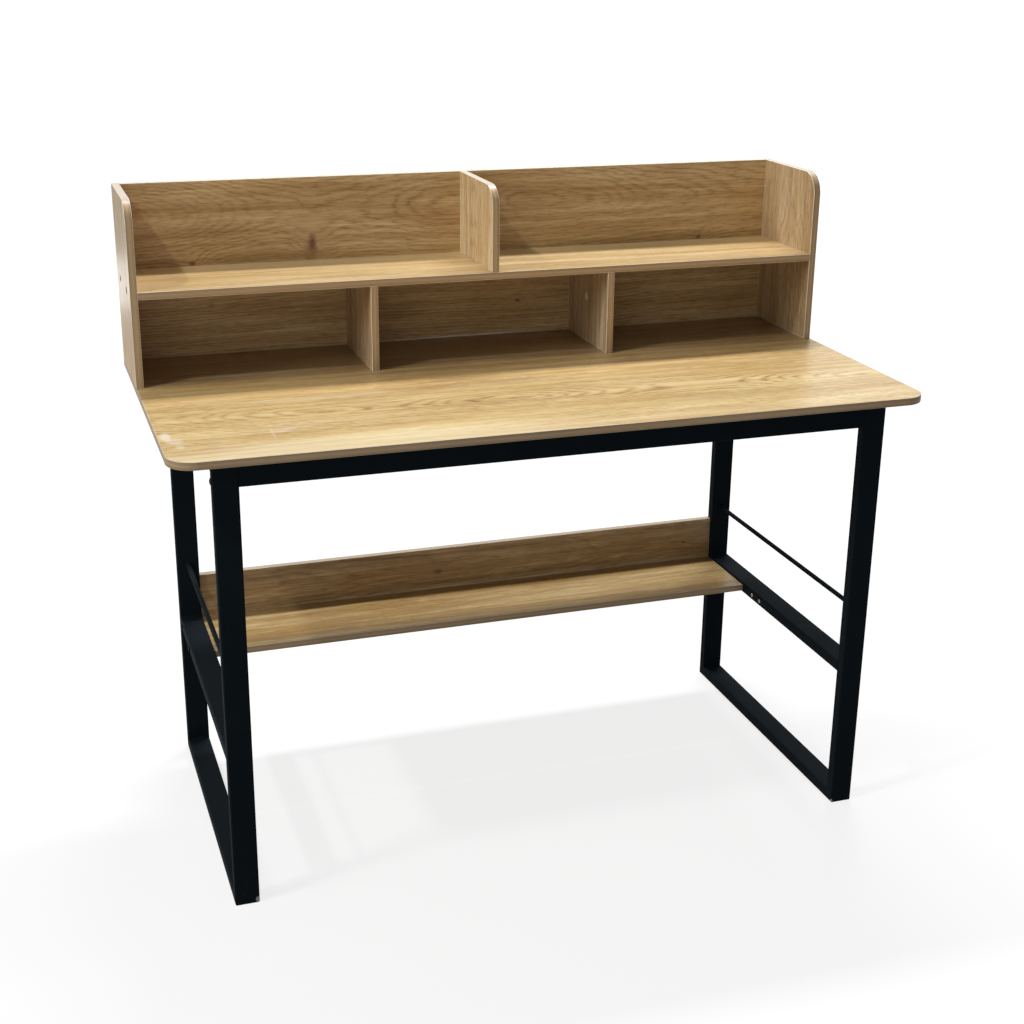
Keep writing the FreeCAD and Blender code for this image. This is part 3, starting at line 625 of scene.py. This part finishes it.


# %% [markdown]
# The worktop's grain runs from side to side. Its heart lies a little in front of the middle,
# with arches that point to the left, and a paler strip runs along the front edge.
# The worktop in the photograph is used: it has a whitish scuff at its left edge, a fainter one
# beside it, and brown streaks to the right of the middle. Under the hutch it carries painted shade,
# which makes it much darker, and just in front of the hutch a lighter, warmer painted shade.

# %% Worktop oak
ALONG_FIBRES = (5, 120, 60)
SCUFFED = (520, 420, 60)
SOFT_EDGED = (3, 30, 10)
WHOLE_LENGTH = 2.5
CREAM = (1.0, 0.90, 0.62, 1)
CHALK = (0.98, 0.97, 0.92, 1)
UMBER = (0.50, 0.34, 0.16, 1)
side_low, side_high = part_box("hutch_left_side")
dress("worktop", oak_finish(
    "worktop_oak", "X", "Y", heart=-0.118, lean=-0.04, lines=1.5, ribbons=0.60, flecks=0.55,
    depths=(
        (-0.60, 0.085), (-0.36, 0.025), (-0.24, 0.060), (-0.06, 0.015), (0.12, 0.050),
        (0.34, 0.070), (0.60, 0.010),
    ),
    knots=(Knot(-0.462, 0.219, 0.008, 0.004), Knot(0.467, 0.180, 0.016, 0.004)),
    patches=(
        Mark((-0.30, worktop_low.y), (0.50, 0.080), CREAM, 0.42, ALONG_FIBRES),
        Mark((0.28, -0.278), (0.30, 0.022), CREAM, 0.15, ALONG_FIBRES),
        Mark((-0.34, -0.030), (0.20, 0.012), CREAM, 0.25, ALONG_FIBRES),
        Mark((0.30, -0.010), (0.12, 0.016), UMBER, 0.60, ALONG_FIBRES),
        Mark((-0.010, -0.018), (0.070, 0.014), UMBER, 0.65, ALONG_FIBRES),
        Mark((0.30, -0.205), (0.16, 0.016), UMBER, 0.45, ALONG_FIBRES),
        Mark((-0.588, -0.172), (0.010, 0.024), CHALK, 0.42, SCUFFED),
        Mark((-0.578, -0.196), (0.016, 0.018), CHALK, 0.26, SCUFFED),
        Mark((-0.574, -0.226), (0.008, 0.014), CHALK, 0.20, SCUFFED),
        Mark((-0.436, -0.196), (0.0030, 0.034), CHALK, 0.16, SCUFFED),
        Mark((-0.420, -0.186), (0.022, 0.012), CHALK, 0.16, SCUFFED),
        Mark((-0.405, -0.176), (0.014, 0.008), CHALK, 0.12, SCUFFED),
    ),
    shades_and_stains=(
        # Painted shade of the hutch: much darker under it, a little warmer just in front of it.
        Mark((0.0, side_low.y + 0.1), (WHOLE_LENGTH, 0.14), (0.48, 0.47, 0.51, 1), 1.0, SOFT_EDGED),
        Mark((0.0, side_low.y - 0.05), (WHOLE_LENGTH, 0.10), (0.97, 0.91, 0.84, 1), 1.0, SOFT_EDGED),
        Mark((0.08, -0.272), (0.34, 0.034), (0.92, 0.87, 0.81, 1), 1.0, (4, 60, 10)),
    ),
    pale=(0.93, 0.75, 0.385, 1), brown=(0.78, 0.585, 0.27, 1), shift=0.9,
))

# %% [markdown]
# The hutch's shelf and the lower shelf are cut from plainer parts of the sheet. The hutch's
# shelf is painted a little paler along the back panel, painted light that lifts the panel's
# shadow, and a little darker at the front, painted shade where the lamps fall brightest. The lower
# shelf has painted shade in the corner below its back board, for that board's shadow, and darker
# tones overall, for the shade of the worktop.

# %% Shelf oak
dress("hutch_shelf", oak_finish(
    "hutch_shelf_oak", "X", "Y", heart=0.36, lines=0.6, shift=3.1,
    knots=(Knot(0.09, 0.12, 0.006, 0.0025),),
    patches=(
        # Painted light: a paler strip along the rear, lifting the back panel's shadow.
        Mark((0.1, side_high.y - 0.035), (WHOLE_LENGTH, 0.055), (1.0, 0.79, 0.43, 1), 0.36, (6, 60, 10)),
    ),
    shades_and_stains=(
        # Painted shade: a little darker along the front, where the lamps fall brightest.
        Mark((0.0, side_low.y + 0.02), (WHOLE_LENGTH, 0.06), (0.94, 0.94, 0.95, 1), 1.0, (3, 40, 10)),
    ),
))
rear_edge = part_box("lower_shelf")[1].y
dress("lower_shelf", oak_finish(
    "lower_shelf_oak", "X", "Y", heart=0.02, lines=0.75, shift=5.7,
    shades_and_stains=(
        # Painted shadow of the back board along the rear edge.
        Mark((0.0, rear_edge - 0.012), (WHOLE_LENGTH, 0.034), (0.62, 0.56, 0.48, 1), 1.0, (4, 60, 10)),
    ),
    # Darker tones: painted shade of the worktop above.
    pale=(0.61, 0.465, 0.225, 1), brown=(0.52, 0.37, 0.16, 1),
))

# %% [markdown]
# The back panel is seen straight on, so its figure shows best: arches that point to the right
# in both bays, a closed eye where they meet, a dark knot low in each bay, and a tall reddish
# knot in the left one. A thin painted highlight lies along its foot in the middle bay.

# %% Back panel oak
dress("hutch_back_panel", oak_finish(
    "back_panel_oak", "X", "Z", heart=0.974, lines=0.85,
    depths=(
        (-0.60, 0.005), (-0.44, 0.045), (-0.30, 0.080), (-0.13, 0.062), (-0.05, 0.044),
        (0.04, 0.050), (0.12, 0.020), (0.34, 0.062), (0.60, 0.085),
    ),
    knots=(
        Knot(-0.271, 0.918, 0.0075, 0.017), Knot(-0.477, 0.893, 0.006, 0.004),
        Knot(0.457, 0.894, 0.006, 0.004), Knot(0.102, 0.795, 0.006, 0.004),
    ),
    patches=(
        Mark((-0.274, 0.905), (0.015, 0.024), (0.36, 0.19, 0.09, 1), 0.70, (60, 90, 60)),
        Mark((-0.271, 0.930), (0.050, 0.030), (0.50, 0.33, 0.17, 1), 0.40, (30, 120, 60)),
        # Painted highlight: a thin line of light along the panel's foot in the middle bay.
        Mark((0.0, worktop_high.z + 0.0005), (0.215, 0.0030), CHALK, 0.85, (40, 40, 60)),
    ),
    pale=(0.77, 0.58, 0.31, 1), brown=(0.63, 0.46, 0.235, 1), shift=1.7,
))

# %% [markdown]
# The board behind the lower shelf gets less light, and it is painted in darker tones as well, for
# the shade under the worktop. It has two small knots, the left one with a brown cloud round it.

# %% Lower back board oak
dress("lower_back_board", oak_finish(
    "back_board_oak", "X", "Z", heart=0.31, lines=0.8,
    depths=((-0.6, 0.02), (-0.2, 0.06), (0.1, 0.05), (0.6, 0.09)),
    knots=(Knot(-0.058, 0.294, 0.009, 0.006), Knot(0.444, 0.296, 0.005, 0.003)),
    patches=(Mark((-0.08, 0.300), (0.060, 0.016), (0.36, 0.21, 0.11, 1), 0.5, (30, 90, 60)),),
    # Darker tones: painted shade of the worktop above.
    pale=(0.55, 0.395, 0.215, 1), brown=(0.455, 0.32, 0.165, 1), shift=4.4,
))

# %% [markdown]
# The sides and dividers stand on end, so their grain runs up and down. Each takes its figure
# from another part of the sheet, which a shift along the grain gives, with the heart a little
# deeper each time. On the left side's outer face, a dark ring of painted shade round each of the
# two screws that hold the shelf stands for their holes, and the face is greyer high up.

# %% Upright oak
# The pale and the brown tone of each. The left side and the upper divider are painted paler
# than the others, for the light on their left faces.
UPRIGHT_TONES = {
    "hutch_left_side": ((1.0, 0.77, 0.43, 1), (1.0, 0.73, 0.38, 1)),
    "hutch_right_side": ((0.74, 0.60, 0.39, 1), (0.62, 0.49, 0.31, 1)),
    "upper_divider": ((1.0, 0.86, 0.58, 1), (0.92, 0.76, 0.48, 1)),
    "lower_left_divider": ((0.76, 0.61, 0.41, 1), (0.66, 0.51, 0.32, 1)),
    "lower_right_divider": ((0.76, 0.63, 0.44, 1), (0.66, 0.53, 0.36, 1)),
}
SCREW_PITCH = 0.096
RECESS_SHADE_SIZE = (0.0084, 0.0112)
RECESS_SHADE = (0.030, 0.022, 0.016, 1)
GREYER = (0.80, 0.84, 0.90, 1)
FIRST_DEPTH = 0.02
DEPTH_STEP = 0.012
MIDWAY_UP = 0.88
shelf_low, shelf_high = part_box("hutch_shelf")
shelf_middle = (shelf_low.z + shelf_high.z) / 2
side_middle = (side_low.y + side_high.y) / 2
# Painted shade of the two screw holes, on the left side's outer face.
painted_recess_shades = [
    Mark((shelf_middle, side_middle + half_pitch), RECESS_SHADE_SIZE, RECESS_SHADE, 0.94, (300, 300, 300),
         face=side_low.x, reach=0.004)
    for half_pitch in (-SCREW_PITCH / 2, SCREW_PITCH / 2)
]
greyer_head = Mark(
    (side_high.z, side_middle), (0.24, 0.60), GREYER, 1.0, (12, 60, 60),
    face=side_low.x, reach=0.006)
for count, (name, (pale, brown)) in enumerate(UPRIGHT_TONES.items()):
    foot = FIRST_DEPTH + DEPTH_STEP * count
    is_left = name == "hutch_left_side"
    dress(name, oak_finish(
        name + "_oak", "Z", "Y", heart=0.13 + 0.04 * count, shift=2.3 * count + 0.6,
        lines=0.6 if is_left else 0.9,
        depths=((worktop_high.z, foot), (MIDWAY_UP, foot + 0.03), (cad_high.z, foot + 0.05)),
        shades_and_stains=[greyer_head] if is_left else (), recess_shades=painted_recess_shades if is_left else (),
        pale=pale, brown=brown,
    ))

# %% [markdown]
# A band is glued round every board. It is a little pinker and greyer than the face, and its two
# arrises are pale: partly the lighter core that shows where the trimmer broke them, partly a
# painted highlight. A thin dark glue line runs beside each. Where the band faces up, it is painted
# paler with a sheen. The band's own box gives its middle and its thickness, so one recipe fits
# them all.

# %% Edge band finish
TOP_PAINTED_SHEEN = (0.57, 0.50, 0.41, 1)
ARRIS = 0.0011
FINE_STREAKS = 620.0
BROAD_BLOTCHES = 150.0
BAND_PORE_DEPTH = 0.00008


def across_band(axis, along, across):
    """How many blotches to the metre: along the band both ways, and across its thickness."""
    stretch = [along, along, along]
    stretch[axis] = across
    return stretch


def band_finish(name, through, pale_arris=1.0, top=TOP_PAINTED_SHEEN):
    """Edge band for a board whose thickness lies along the axis named by through."""
    low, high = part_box(name + "_edge_band")
    axis = "XYZ".index(through)
    middle = (low[axis] + high[axis]) / 2
    half = (high[axis] - low[axis]) / 2
    finish, tree, shader = new_finish(name + "_band")
    place = read_spot(tree)
    from_middle = do_sum(tree, "ABSOLUTE", do_sum(
        tree, "SUBTRACT", split(tree, place)[through], middle))
    run = across_band(axis, 9.0, FINE_STREAKS)
    long_run = across_band(axis, 2.5, BROAD_BLOTCHES)
    streaks = fade(tree, speckle(tree, place, run, 3.0), 0.32, 0.70)
    blotches = fade(tree, speckle(tree, place, long_run, 2.0, (4, 4, 4)), 0.36, 0.66)
    pores = fade(tree, speckle(tree, place, [part * 9 for part in run], 2.0), 0.60, 0.72)
    core_line = invert(tree, fade(tree, from_middle, 0.0004, 0.0024))
    glue_line = do_sum(
        tree, "MULTIPLY",
        fade(tree, from_middle, half - 2 * ARRIS, half - 0.0016),
        invert(tree, fade(tree, from_middle, half - ARRIS, half - 0.0007)),
    )
    # Pale arrises: the trimmed band's lighter core, with a painted highlight.
    trimmed_and_highlit_arris = do_sum(
        tree, "MULTIPLY", fade(tree, from_middle, half - ARRIS, half - 0.0005),
        add_shares(tree, 0.65 * pale_arris, (blotches, 0.35 * pale_arris)),
    )
    # Upward faces take the top tint: painted sheen, and on the lower back board painted shade.
    facing_up = fade(tree, split(tree, read_spot(tree, "Normal"))["Z"], 0.75, 0.98)
    colour = lay_tints(
        tree, mix_colours(tree, blotches, (0.57, 0.41, 0.230, 1), (0.48, 0.34, 0.190, 1)),
        (streaks, 0.5, (0.76, 0.70, 0.66, 1), "MULTIPLY"),
        (pores, 0.5, (0.55, 0.45, 0.38, 1), "MULTIPLY"),
        (core_line, 0.35, (0.78, 0.47, 0.27, 1), "MIX"),
        (glue_line, 0.6, (0.24, 0.15, 0.08, 1), "MIX"),
        (trimmed_and_highlit_arris, 1.0, (0.95, 0.88, 0.70, 1), "MIX"),
        (facing_up, 0.8, top, "MIX"),
    )
    colour_and_gloss(tree, shader, colour, add_shares(tree, 0.30, (streaks, 0.12), (pores, 0.2)))
    emboss(tree, shader, invert(tree, pores), BAND_PORE_DEPTH)
    return finish


# %% [markdown]
# The bands of the worktop and of the two lower boards have fainter pale arrises than the others.
# The hutch's back panel has a paler painted sheen along its top than the other boards, and the
# board behind the lower shelf is painted browner there, as painted shade of the worktop.

# %% Dress the bands
BANDS = {
    "worktop": {"through": "Z", "pale_arris": 0.25},
    "hutch_shelf": {"through": "Z"},
    "lower_shelf": {"through": "Z", "pale_arris": 0.4},
    # Top tints: painted sheen on the back panel's top, painted shade on the lower back board's.
    "hutch_back_panel": {"through": "Y", "top": (0.71, 0.65, 0.54, 1)},
    "lower_back_board": {"through": "Y", "pale_arris": 0.6, "top": (0.47, 0.38, 0.27, 1)},
    **{name: {"through": "X"} for name in UPRIGHT_TONES},
}
for name, settings in BANDS.items():
    dress(name + "_edge_band", band_finish(name, **settings))

# %% [markdown]
# The frames are powder coated: a blue-black skin that is slightly uneven, like fine orange
# peel. It is scuffed where feet and floors touch it, down to bare steel at two corners of the
# front legs, and the saw cut of each mitre shows through it as a faint groove.

# %% Mitres and chips
leg_low, leg_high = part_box("left_front_leg")
rear_low, rear_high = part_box("left_rear_leg")
MITRE_REACH = (leg_high.y - leg_low.y) * 1.02


def mitre_groove(tree, parts, corner_y, corner_z, lean):
    """How deep a spot lies in the groove of the mitre that starts at one outer corner."""
    off = do_sum(tree, "SUBTRACT", parts["Y"], corner_y)
    rise = do_sum(tree, "SUBTRACT", parts["Z"], corner_z)
    gap = do_sum(tree, "SUBTRACT", off, do_sum(tree, "MULTIPLY", rise, lean))
    line = invert(tree, fade(tree, do_sum(tree, "ABSOLUTE", gap), 0.0002, 0.0009))
    near = [
        do_sum(tree, "LESS_THAN", do_sum(tree, "ABSOLUTE", way), MITRE_REACH)
        for way in (rise, off)
    ]
    return do_sum(tree, "MULTIPLY", line, do_sum(tree, "MULTIPLY", *near))


def chip(tree, place, spot, radius):
    """1 where the paint is gone round a spot, with a ragged edge."""
    away = vector_sum(tree, "DISTANCE", place, spot)
    grit = speckle(tree, place, (700, 700, 260), 3.0)
    ragged = add_shares(tree, away, (grit, radius * 1.2))
    return invert(tree, fade(tree, ragged, radius * 1.30, radius * 1.45))


# %% [markdown]
# One finish serves both frames, because a spot's place tells it where the mitres and the chips
# are. The coat is dull, so it reflects little, and the dust on it lies thickest near the floor.

# %% Black steel finish
FRAME_PARTS = ("front_leg", "rear_leg", "floor_bar", "top_bar", "mid_rail", "side_rod")
# Each chip has the x of its leg's front corner, its height above the floor, and its radius.
CHIPS = ((leg_high.x, 0.005, 0.0078), (-leg_high.x, 0.003, 0.0038))
DUST = (0.045, 0.044, 0.042, 1)
PALE_GROOVE = (0.05, 0.052, 0.055, 1)
BARE_METAL = (0.42, 0.42, 0.42, 1)
COAT_ROUGHNESS = 0.65
COAT_SHINE = 0.05
PEEL_DEPTH = 0.00006


def steel_finish(name):
    """Blue-black powder coat on steel tube."""
    finish, tree, shader = new_finish(name)
    place = read_spot(tree)
    parts = split(tree, place)
    cloud = fade(tree, speckle(tree, place, (7, 7, 7), 3.0), 0.3, 0.7)
    peel = speckle(tree, place, (650, 650, 650), 2.0)
    dust = fade(tree, speckle(tree, place, (230, 230, 230), 4.0, (1, 2, 3)), 0.62, 0.74)
    low_down = invert(tree, fade(tree, parts["Z"], 0.005, 0.10))
    groove = do_sum(
        tree, "ADD",
        mitre_groove(tree, parts, leg_low.y, leg_low.z, 1.0),
        mitre_groove(tree, parts, rear_high.y, rear_low.z, -1.0),
    )
    bare = do_sum(tree, "ADD", *(
        chip(tree, place, (corner_x, leg_low.y, height), radius)
        for corner_x, height, radius in CHIPS
    ))
    colour = lay_tints(
        tree, mix_colours(tree, cloud, (0.0057, 0.0099, 0.0134, 1), (0.0088, 0.0137, 0.0176, 1)),
        (dust, add_shares(tree, 0.25, (low_down, 0.5)), DUST, "MIX"),
        (groove, 0.5, PALE_GROOVE, "MIX"),
        (bare, 1.0, BARE_METAL, "MIX"),
    )
    roughness = add_shares(tree, COAT_ROUGHNESS, (cloud, 0.08), (dust, 0.2))
    colour_and_gloss(tree, shader, colour, roughness)
    tree.links.new(do_sum(tree, "MULTIPLY", bare, 0.5), shader.inputs["Metallic"])
    shader.inputs["Specular IOR Level"].default_value = COAT_SHINE
    height = do_sum(tree, "SUBTRACT", peel, do_sum(tree, "MULTIPLY", groove, 1.5))
    emboss(tree, shader, height, PEEL_DEPTH)
    return finish


black_steel = steel_finish("powder_coated_steel")
for side in ("left_", "right_"):
    for part in FRAME_PARTS:
        dress(side + part, black_steel)
dress("front_top_rail", black_steel)
dress("rear_top_rail", black_steel)

# %% [markdown]
# The small hardware has three finishes: black oxide on the screws, zinc on the cams and the
# inserts, and bare steel on the plates inside the rails. The screws in the hutch's sides get a
# darker, matt copy of the oxide, as painted shade of the holes they sit in. The dowels are beech.
# Turned metal keeps fine rings from the tool. Zinc has a bright, blotchy spangle; it is painted
# nearly white as a painted highlight for its glint, and matt enough to show in the shade of a cubby.

# %% Hardware finishes
TOOL_MARKS = (300, 300, 2600)
TOOL_MARK_DEPTH = 0.00003


def metal_finish(name, bright, dull, roughness, grain, metallic=1.0, shine=PLAIN_SHINE):
    """Metal whose colour drifts between two tones, with fine tool marks."""
    finish, tree, shader = new_finish(name)
    place = read_spot(tree)
    spangle = fade(tree, speckle(tree, place, (grain, grain, grain), 3.0), 0.35, 0.65)
    marks = speckle(tree, place, TOOL_MARKS, 2.0)
    colour = lay_tints(
        tree, mix_colours(tree, spangle, bright, dull), (marks, 0.3, (0.5, 0.5, 0.5, 1), "MULTIPLY"))
    colour_and_gloss(tree, shader, colour, add_shares(tree, roughness, (spangle, 0.15)))
    shader.inputs["Metallic"].default_value = metallic
    shader.inputs["Specular IOR Level"].default_value = shine
    emboss(tree, shader, marks, TOOL_MARK_DEPTH)
    return finish


black_oxide = metal_finish(
    "black_oxide", bright=(0.030, 0.031, 0.033, 1), dull=(0.014, 0.015, 0.017, 1),
    roughness=0.50, grain=900)
# A darker, matt copy of the black oxide: painted shade of the screw holes.
recess_shaded_oxide = metal_finish(
    "recess_shaded_oxide", bright=(0.022, 0.022, 0.023, 1), dull=(0.012, 0.012, 0.013, 1),
    roughness=0.84, grain=900, metallic=0.0, shine=0.0)
# Zinc's pale colour pushed nearly white: a painted highlight for its glint.
zinc = metal_finish(
    "zinc_with_painted_glint", bright=(0.98, 0.98, 0.97, 1), dull=(0.86, 0.86, 0.86, 1),
    roughness=0.34, grain=420, metallic=0.15)
bare_steel = metal_finish(
    "bare_steel", bright=(0.55, 0.54, 0.52, 1), dull=(0.40, 0.39, 0.38, 1),
    roughness=0.38, grain=160)
beech = oak_finish(
    "beech", "X", "Y", heart=0.5, lines=0.35,
    pale=(0.76, 0.56, 0.36, 1), brown=(0.68, 0.47, 0.28, 1),
)

# %% [markdown]
# All the screws and bolts are black, and the frame's names tell which nodes they are.

# %% Dress the hardware
for name in ("cam_discs", "cam_bolts", "rail_inserts"):
    dress(name, zinc)
dress("rail_end_plates", bare_steel)
dress("dowels", beech)
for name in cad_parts:
    if name.endswith("_screws") or name == "rail_bolts":
        dress(name, recess_shaded_oxide if name == "hutch_side_screws" else black_oxide)

# %% [markdown]
# A welder joined the tubes, and the CAD only butts them together. A weld is a chain of small
# frozen ripples that fills the corner between two faces. It could be a curve with a bevel, but
# a short rod whose rings are swelled and pinched by turns shows the ripples and stays light.
# Picking vertices by their place, resizing them and rounding the weld off are helpers, because
# the rings round the rods need them too.

# %% Helpers for welds
def lift_off(mesh):
    """Deselects every vertex, edge and face of the mesh that is being edited."""
    for part in (*mesh.verts, *mesh.edges, *mesh.faces):
        part.select = False


def resize_some(weld, is_chosen, value):
    """Resizes the vertices whose place is_chosen says yes to. It works in edit mode."""
    mesh = bmesh.from_edit_mesh(weld.data)
    lift_off(mesh)
    for vertex in mesh.verts:
        vertex.select_set(is_chosen(vertex.co))
    bmesh.update_edit_mesh(weld.data)
    bpy.ops.transform.resize(value=value)


def round_off(weld):
    """Leaves edit mode and smooths the weld with one subdivision."""
    bpy.ops.object.mode_set(mode="OBJECT")
    bpy.ops.object.modifier_add(type="SUBSURF")
    weld.modifiers[0].levels = 1
    weld.modifiers[0].render_levels = 1
    bpy.ops.object.modifier_apply(modifier=weld.modifiers[0].name)
    bpy.ops.object.shade_smooth()


# %% [markdown]
# One bead is modelled, then copied to every corner that was welded. It starts as a plain rod
# along X. Its long edges are cut into rings, every second ring is swelled, and both ends are
# pinched.

# %% Model one weld bead
BEAD_RADIUS = 0.0026
BEAD_RIPPLES = 9
BEAD_SETBACK = 0.003
SWELL = 1.22
PINCH = 0.55


def model_bead(name, length):
    """A weld bead along X, centred on the origin, with swelled and pinched rings."""
    bpy.ops.mesh.primitive_cylinder_add(
        vertices=10, radius=BEAD_RADIUS, depth=length, rotation=(0, math.pi / 2, 0))
    bead = bpy.context.object
    bead.name = name
    bpy.ops.object.transform_apply(location=True, rotation=True, scale=True)
    bpy.ops.object.mode_set(mode="EDIT")
    mesh = bmesh.from_edit_mesh(bead.data)
    lift_off(mesh)
    for edge in mesh.edges:
        first, second = edge.verts
        edge.select_set(abs(first.co.x - second.co.x) > length * 0.9)
    bmesh.update_edit_mesh(bead.data)
    bpy.ops.mesh.subdivide(number_cuts=2 * BEAD_RIPPLES - 1)
    bpy.ops.mesh.select_mode(type="VERT")
    step = length / (2 * BEAD_RIPPLES)
    resize_some(
        bead, lambda spot: round((spot.x + length / 2) / step) % 2 == 1, (1.0, SWELL, SWELL))
    resize_some(bead, lambda spot: abs(spot.x) > length / 2 - step / 2, (1.0, PINCH, PINCH))
    round_off(bead)
    return bead


tube_wide = leg_high.x - leg_low.x
bead = model_bead("weld_bead", tube_wide - 2 * BEAD_SETBACK)
print("bead of", len(bead.data.polygons), "faces")

# %% [markdown]
# Each mid rail meets its two legs, and each frame has four inner corners. The beads lie across
# the tube's width there, above and below each rail end and in each corner.

# %% Lay the beads
def lay_bead(name, place):
    """Copies the bead to a place, each copy with its own mesh."""
    copy = bead.copy()
    copy.data = bead.data.copy()
    copy.name = name
    bpy.context.collection.objects.link(copy)
    copy.location = place
    bpy.ops.object.select_all(action="DESELECT")
    copy.select_set(True)
    bpy.context.view_layer.objects.active = copy
    bpy.ops.object.transform_apply(location=True, rotation=True, scale=True)
    copy.data.materials.clear()
    copy.data.materials.append(black_steel)
    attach(copy, "root")
    return copy


beads = []
for side in ("left", "right"):
    rail_low, rail_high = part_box(side + "_mid_rail")
    floor_bar_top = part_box(side + "_floor_bar")[1].z
    top_bar_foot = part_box(side + "_top_bar")[0].z
    centre_x = (rail_low.x + rail_high.x) / 2
    for end, y in (("front", rail_low.y), ("rear", rail_high.y)):
        for spot, z in (
            ("floor", floor_bar_top), ("rail_under", rail_low.z),
            ("rail_over", rail_high.z), ("top", top_bar_foot),
        ):
            beads.append(lay_bead(side + "_" + end + "_" + spot + "_weld", (centre_x, y, z)))
bpy.data.objects.remove(bead)
print("laid", len(beads), "beads")

# %% [markdown]
# The side rods end in a small ring of weld on each leg. It is a torus whose rings are swelled
# by turns, turned to face along the desk's depth.

# %% Rod collars
COLLAR_THICK = 0.0016
COLLAR_RINGS = 28
COLLAR_SWELL = (1.07, 1.25, 1.07)


def model_collar(name, rod_radius):
    """A ring of weld round a rod that runs along Y, centred on the origin."""
    bpy.ops.mesh.primitive_torus_add(
        major_radius=rod_radius, minor_radius=COLLAR_THICK, major_segments=COLLAR_RINGS,
        minor_segments=8, rotation=(math.pi / 2, 0, 0))
    collar = bpy.context.object
    collar.name = name
    bpy.ops.object.transform_apply(location=True, rotation=True, scale=True)
    bpy.ops.object.mode_set(mode="EDIT")

    def is_every_second(spot):
        turn = math.atan2(spot.z, spot.x) / (2 * math.pi)
        return round(turn * COLLAR_RINGS) % 2 == 0

    resize_some(collar, is_every_second, COLLAR_SWELL)
    round_off(collar)
    return collar


for side in ("left", "right"):
    rod_low, rod_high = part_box(side + "_side_rod")
    rod_radius = (rod_high.z - rod_low.z) / 2
    for end, y in (("front", rod_low.y), ("rear", rod_high.y)):
        bpy.ops.object.select_all(action="DESELECT")
        collar = model_collar(side + "_" + end + "_rod_weld", rod_radius)
        collar.location = ((rod_low.x + rod_high.x) / 2, y, (rod_low.z + rod_high.z) / 2)
        bpy.ops.object.transform_apply(location=True, rotation=True, scale=True)
        collar.data.materials.append(black_steel)
        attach(collar, "root")
        print(collar.name, "has", len(collar.data.polygons), "faces")
